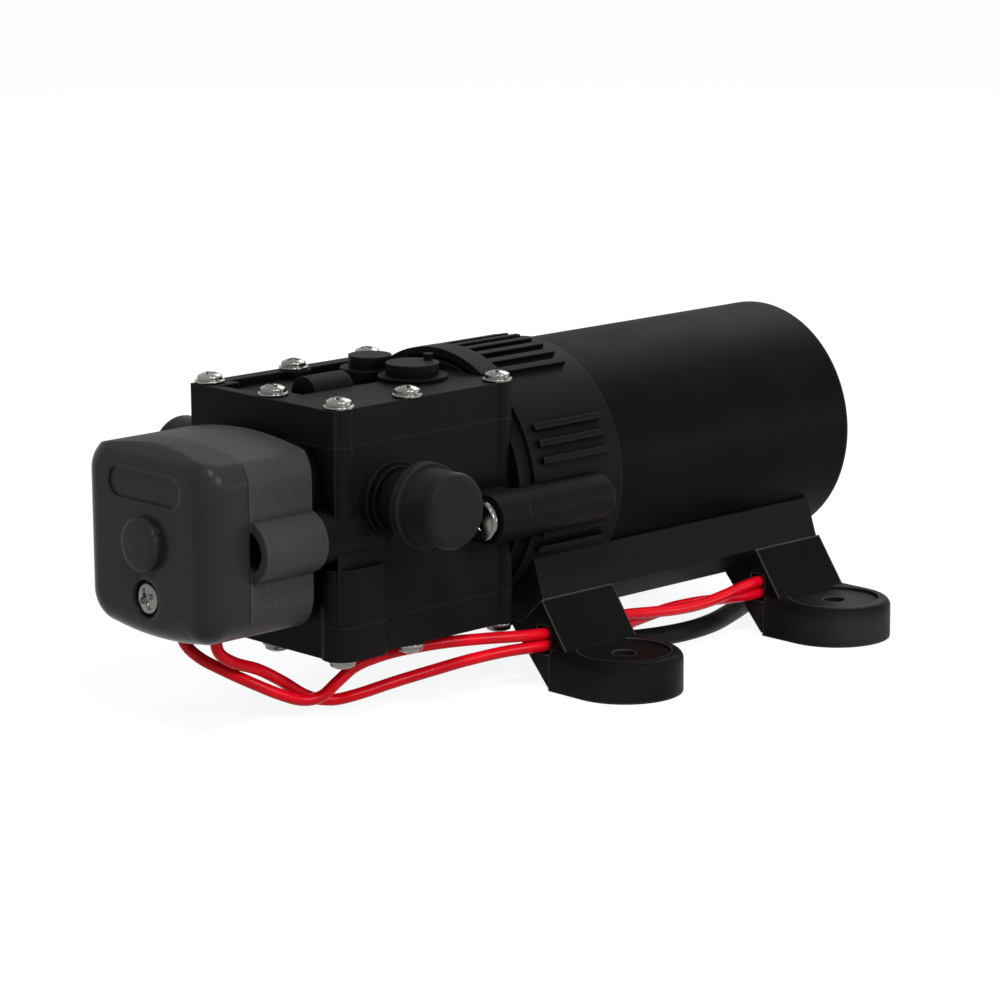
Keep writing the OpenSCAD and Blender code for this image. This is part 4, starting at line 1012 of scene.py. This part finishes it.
LEAD_D = 2.3 * MM
CABLE_D = 4.0 * MM
UPPER_ROUTE = np.array([
    [-105.4, 5.5, 22.5], [-105.4, 5.5, 18.5], [-105, 4.6, 15], [-103.6, 2, 12.4], [-101, -1.8, 10.2],
    [-97, -5.4, 7.6], [-92.5, -8, 5.1], [-88.5, -9.6, 3.6], [-85, -10.9, 3.9], [-81.8, -11.8, 6.2],
    [-78, -12.5, 8.6], [-73, -13.4, 9.8], [-67, -14.6, 10.4], [-60, -17.4, 10.9], [-53, -20.6, 11],
    [-46, -23.6, 10.8], [-41, -25, 10.6], [-36, -25, 10.6], [-30, -25, 10.6], [-24, -25, 10.6],
    [-18, -25.4, 10.5], [-11, -26, 9.9], [-4, -26.2, 9.3], [3, -26.2, 9.2], [10, -26, 9.8],
    [17, -25.4, 10.5], [23, -25, 10.6], [29, -25, 10.6], [35, -25, 10.6], [40, -24.6, 10.6],
    [44.6, -21.9, 10.4], [49, -17, 10.3], [52.6, -12, 10.6], [55.2, -7.6, 12.6], [56.6, -4.6, 16],
    [56.6, -3, 19.4], [54.9, -2.4, 22], [52.2, -2.4, 22.5], [47.6, -2.4, 22.5],
], dtype=float)
LOWER_ROUTE = np.array([
    [-105.4, -5, 22.5], [-105.4, -5, 18], [-104.6, -5, 14.8], [-101.4, -5.4, 12.4], [-96, -5.8, 10.2],
    [-91, -6.4, 7.2], [-86, -8, 3.6], [-81.5, -9.6, 2.3], [-77, -11.6, 2.8], [-69, -14.2, 4.4],
    [-62, -16.7, 5.7], [-55, -19.7, 7.1], [-48, -22.6, 8], [-41, -25, 8.2], [-36, -25, 8.2],
    [-30, -25, 8.2], [-24, -25, 8.2], [-18, -24.6, 8.2], [-11, -23.9, 8.6], [-4, -23.8, 9.1],
    [3, -23.8, 9], [10, -23.9, 8.5], [17, -24.6, 8.1], [23, -25, 8.1], [29, -25, 8.1], [35, -25, 8.1],
    [40, -24.6, 8], [44.2, -21.9, 7.4], [47.6, -17, 7], [50, -12, 7], [51.8, -7.8, 8.4],
    [53.2, -4.8, 11.4], [54.1, -3.2, 14.6], [54.2, -2.7, 16.8], [53.6, -2.45, 18.8], [52, -2.4, 19.9],
    [50.4, -2.4, 19.9], [47.6, -2.4, 19.9],
], dtype=float)
CABLE_ROUTE = np.array([
    [47.6, 2, 21.2], [53, 2, 21.2], [57.6, 2, 20], [61.2, 1.8, 17], [62.6, 1.6, 12.6], [61.8, 1.2, 8],
    [58.6, 0.4, 4], [53, -1.6, 2.1], [46, -5, 2], [38, -9, 2], [29.4, -12.9, 2], [22, -16, 2],
    [14, -18.8, 2], [6, -19.9, 2], [-2, -19, 2], [-9, -16.4, 2], [-14.6, -11.8, 2], [-17.6, -5.4, 2],
    [-17.6, 1.6, 2], [-14.4, 7.6, 2], [-8.6, 11.4, 2], [-1.6, 12.8, 2], [5.4, 12.6, 2],
], dtype=float)


@dataclass
class CableEnd:
    """The two stripped cores past the supply cable's end, in millimetres, with their twist in radians."""

    start: Point = (5.4, 12.6, 2.0)
    heading: tuple[float, float] = (7.0, -0.2)
    apart: float = 0.88
    core_r: float = 0.8
    core_len: float = 7.0
    core_tuck: float = 0.6
    cut: tuple[float, ...] = (0.99, 0.95, 0.82)
    bare_r: float = 0.48
    bare_len: float = 4.0
    bare_tuck: float = 0.4
    floor_gap: float = 0.05
    strands: int = 6
    lobe: float = 0.14
    twist: float = 1.4 * math.pi
    steps: int = 33
    core_sides: int = 20
    bare_sides: int = 48

    def line(self, side: int, start: float, stop: float) -> np.ndarray:
        """The middle of a core between two distances, sinking towards the floor on a soft step.

        Args:
            side: -1 or 1.
            start: The first distance from the cable's end.
            stop: The last distance.

        Returns:
            Points, in metres.
        """
        along = np.array([*self.heading, 0.0])
        along /= np.linalg.norm(along)
        across = np.array([-along[1], along[0], 0.0])
        s = np.linspace(start, stop, self.steps)
        t = np.clip(s / (self.core_len + self.bare_len), 0, 1)
        sink = (self.start[2] - self.core_r - self.floor_gap) * t * t * (3 - 2 * t)
        line = np.array(self.start) + s[:, None] * along + side * self.apart * across
        line[:, 2] -= sink
        return line * MM

    def core(self, side: int) -> Shape:
        """One core's insulation, with its cut end softened.

        Args:
            side: -1 or 1.

        Returns:
            The tube.
        """
        line = self.line(side, -self.core_tuck, self.core_len)
        radius = np.full(len(line), self.core_r * MM)
        radius[-len(self.cut):] *= np.array(self.cut)
        return swept(line, radius, self.core_sides)

    def strand(self, side: int) -> Shape:
        """One core's bare wires: a round section with a lobe for each wire, twisted along the line.

        Args:
            side: -1 or 1.

        Returns:
            The twisted bundle.
        """
        line = self.line(side, self.core_len - self.bare_tuck, self.core_len + self.bare_len)
        angle = np.linspace(0, 2 * np.pi, self.bare_sides, endpoint=False)[None]
        twist = np.linspace(0, self.twist, len(line))[:, None]
        lobes = 1 - self.lobe + self.lobe * np.abs(np.cos(self.strands / 2 * (angle - twist)))
        return swept(line, self.bare_r * MM * lobes, self.bare_sides)

    def build(self) -> list[tuple[bpy.types.Object, str, str]]:
        """Makes the cores and their bare ends.

        Returns:
            Each piece with its slot and the node that it stands for.
        """
        return [
            (self.core(-1).mesh("core_red"), "lead_red", "supply_cores"),
            (self.core(1).mesh("core_black"), "cable_black", "supply_cores"),
            (Shape.joined([self.strand(-1), self.strand(1)]).mesh("twisted_ends"), "copper", "bare_ends"),
        ]


@dataclass(frozen=True)
class SoftLamp:
    """A round area lamp, with its power in watts."""

    name: str
    place: Point
    size: float
    power: float

    def hang(self, aim: Point) -> None:
        """Hangs the lamp, turned to a point.

        Args:
            aim: The point that it shines at.
        """
        data = bpy.data.lights.new(self.name, "AREA")
        data.shape, data.size, data.energy = "DISK", self.size, self.power
        look = (Vector(aim) - Vector(self.place)).to_track_quat("-Z", "Y")
        linked(self.name, data).matrix_world = Matrix.Translation(self.place) @ look.to_matrix().to_4x4()


LAMPS = (
    SoftLamp("key", (-0.36, -0.46, 0.78), 0.14, 2.7),
    SoftLamp("rear_fill", (0.68, 0.34, 0.62), 0.45, 3.0),
    SoftLamp("near_fill", (-0.05, -0.9, 0.5), 0.36, 3.7),
    SoftLamp("side_strip", (0.72, -0.74, 0.06), 0.3, 1.2),
)


@dataclass
class Studio:
    """Camera, lamps, floor and background, with the camera's angles in degrees and its lens in millimetres."""

    eye: Point = (-0.51246, -0.50822, 0.18318)
    bearing: float = 43.63
    fall: float = 12.21
    roll: float = -0.27
    lens: float = 129.92
    sensor: float = 36.0
    clip: tuple[float, float] = (0.01, 50.0)
    aim: Point = (-0.02, 0.0, 0.03)
    ambient: float = 0.35
    floor_half: float = 8.0
    floor_lit: Colour = (0.45, 0.45, 0.45)
    floor_shown: Colour = (0.2, 0.2, 0.2)
    floor_glow: float = 0.9

    def camera(self) -> None:
        """Sets the camera where the photograph was taken from."""
        a, e, r = (math.radians(v) for v in (self.bearing, self.fall, self.roll))
        forward = Vector((math.sin(a) * math.cos(e), math.cos(a) * math.cos(e), -math.sin(e)))
        level = Vector((math.cos(a), -math.sin(a), 0.0))
        above = level.cross(forward)
        right = math.cos(r) * level + math.sin(r) * above
        up = math.cos(r) * above - math.sin(r) * level
        data = bpy.data.cameras.new("camera")
        data.lens, data.sensor_width = self.lens, self.sensor
        data.clip_start, data.clip_end = self.clip
        made = linked("camera", data)
        turn = Matrix((right, up, -forward)).transposed().to_4x4()
        made.matrix_world = Matrix.Translation(self.eye) @ turn
        bpy.context.scene.camera = made

    def light(self) -> None:
        """Hangs the soft lamps round the pump."""
        for lamp in LAMPS:
            lamp.hang(self.aim)

    def background(self) -> None:
        """Lights the scene softly from all round, and shows white to the camera and in reflections."""
        graph = Graph(bpy.data.worlds.new("studio"))
        bpy.context.scene.world = graph.owner
        dim = graph.node("ShaderNodeBackground", {}, {"Color": full(WHITE), "Strength": self.ambient})
        white = graph.node("ShaderNodeBackground", {}, {"Color": full(WHITE), "Strength": 1.0})
        both = graph.node("ShaderNodeMixShader", {}, {0: self.seen(graph), 1: dim.outputs[0], 2: white.outputs[0]})
        graph.close(both.outputs[0])

    @staticmethod
    def seen(graph: Graph) -> Value:
        """1 for a ray from the camera, a reflection or glass, and 0 for soft light.

        Args:
            graph: The graph that it is made in.

        Returns:
            The value that holds it.
        """
        path = graph.node("ShaderNodeLightPath", {}, {})
        kinds = ("Camera", "Glossy", "Transmission")
        camera, glossy, glass = (Value(graph, path.outputs[f"Is {kind} Ray"]) for kind in kinds)
        return (camera + glossy + glass).held()

    def floor(self) -> None:
        """Lays the pale floor, white to the camera but for a faint shadow."""
        half = self.floor_half
        corners = np.array([[-half, -half, 0], [half, -half, 0], [half, half, 0], [-half, half, 0]], float)
        made = Shape(corners, [[0, 1, 2, 3]]).mesh("floor")
        graph = Graph(bpy.data.materials.new("pale_floor"))
        soft = graph.node("ShaderNodeBsdfDiffuse", {}, {"Color": full(self.floor_lit)})
        faint = graph.node("ShaderNodeBsdfDiffuse", {}, {"Color": full(self.floor_shown)})
        glow = graph.node("ShaderNodeEmission", {}, {"Strength": self.floor_glow})
        shown = graph.node("ShaderNodeAddShader", {}, {0: faint.outputs[0], 1: glow.outputs[0]})
        both = graph.node("ShaderNodeMixShader", {}, {0: self.seen(graph), 1: soft.outputs[0], 2: shown.outputs[0]})
        graph.close(both.outputs[0])
        made.data.materials.append(graph.owner)


@dataclass
class Pump:
    """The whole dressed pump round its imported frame."""

    frame: dict[str, Any]
    body: str = "housing"
    materials: dict[str, bpy.types.Material] = field(default_factory=dict)

    def paint(self, made: bpy.types.Object, slot: str) -> None:
        """Gives a piece the finish of a slot.

        Args:
            made: The piece.
            slot: The record's slot.
        """
        made.data.materials.clear()
        made.data.materials.append(self.materials[slot])

    def add(self, made: bpy.types.Object, slot: str, *nodes: str) -> bpy.types.Object:
        """Dresses a new piece, sets it on the housing and lets it stand for CAD nodes.

        Args:
            made: The piece.
            slot: The record's slot.
            nodes: The nodes that it stands for.

        Returns:
            The piece.
        """
        self.paint(made, slot)
        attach(made, self.body)
        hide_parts(*nodes)
        log.info("piece %s stands for %s in %s", made.name, ", ".join(nodes), slot)
        return made

    def finishes(self) -> None:
        """Makes every finish and gives each CAD node the one that the record names."""
        self.materials = {finish.slot: finish.build() for finish in FINISHES}
        for row in self.frame["record"]["subparts"]:
            self.paint(self.frame["nodes"][row["node"]], row["material_slot"])

    def cords(self) -> None:
        """Lays the two red leads and the supply cable with its stripped cores."""
        leads = [
            Lead("upper_lead", LEAD_D, UPPER_ROUTE, 0.2095, "object", "limp", "lead_red"),
            Lead("lower_lead", LEAD_D, LOWER_ROUTE, 0.201, "object", "limp", "lead_red"),
            Lead("supply_cable", CABLE_D, CABLE_ROUTE, 0.152, "bare", "medium", "cable_black"),
        ]
        ends = [self.add(made, slot, node) for made, slot, node in CableEnd().build()]
        for lead in leads:
            made = self.add(lead.build(), lead.slot, lead.node)
            lead.declare(made, ends if lead.far_end == "bare" else [])

    def screws(self) -> None:
        """Sets the fine screws in place of the plain ones."""
        for made, node in Fastenings().build():
            self.add(made, "nickel", node)

    def spring(self) -> None:
        """Sets the switch's coil spring."""
        coil = ReturnSpring()
        coil.yields(self.add(coil.build(), "steel", "switch_spring"))


def main() -> None:
    """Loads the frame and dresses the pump."""
    logging.basicConfig(level=logging.INFO, format="%(name)s: %(message)s")
    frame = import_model()
    studio = Studio()
    studio.camera()
    pump = Pump(frame)
    pump.finishes()
    pump.cords()
    pump.screws()
    pump.spring()
    studio.floor()
    studio.light()
    studio.background()
    bpy.context.scene.view_settings.view_transform = "Standard"


if __name__ == "__main__":
    main()
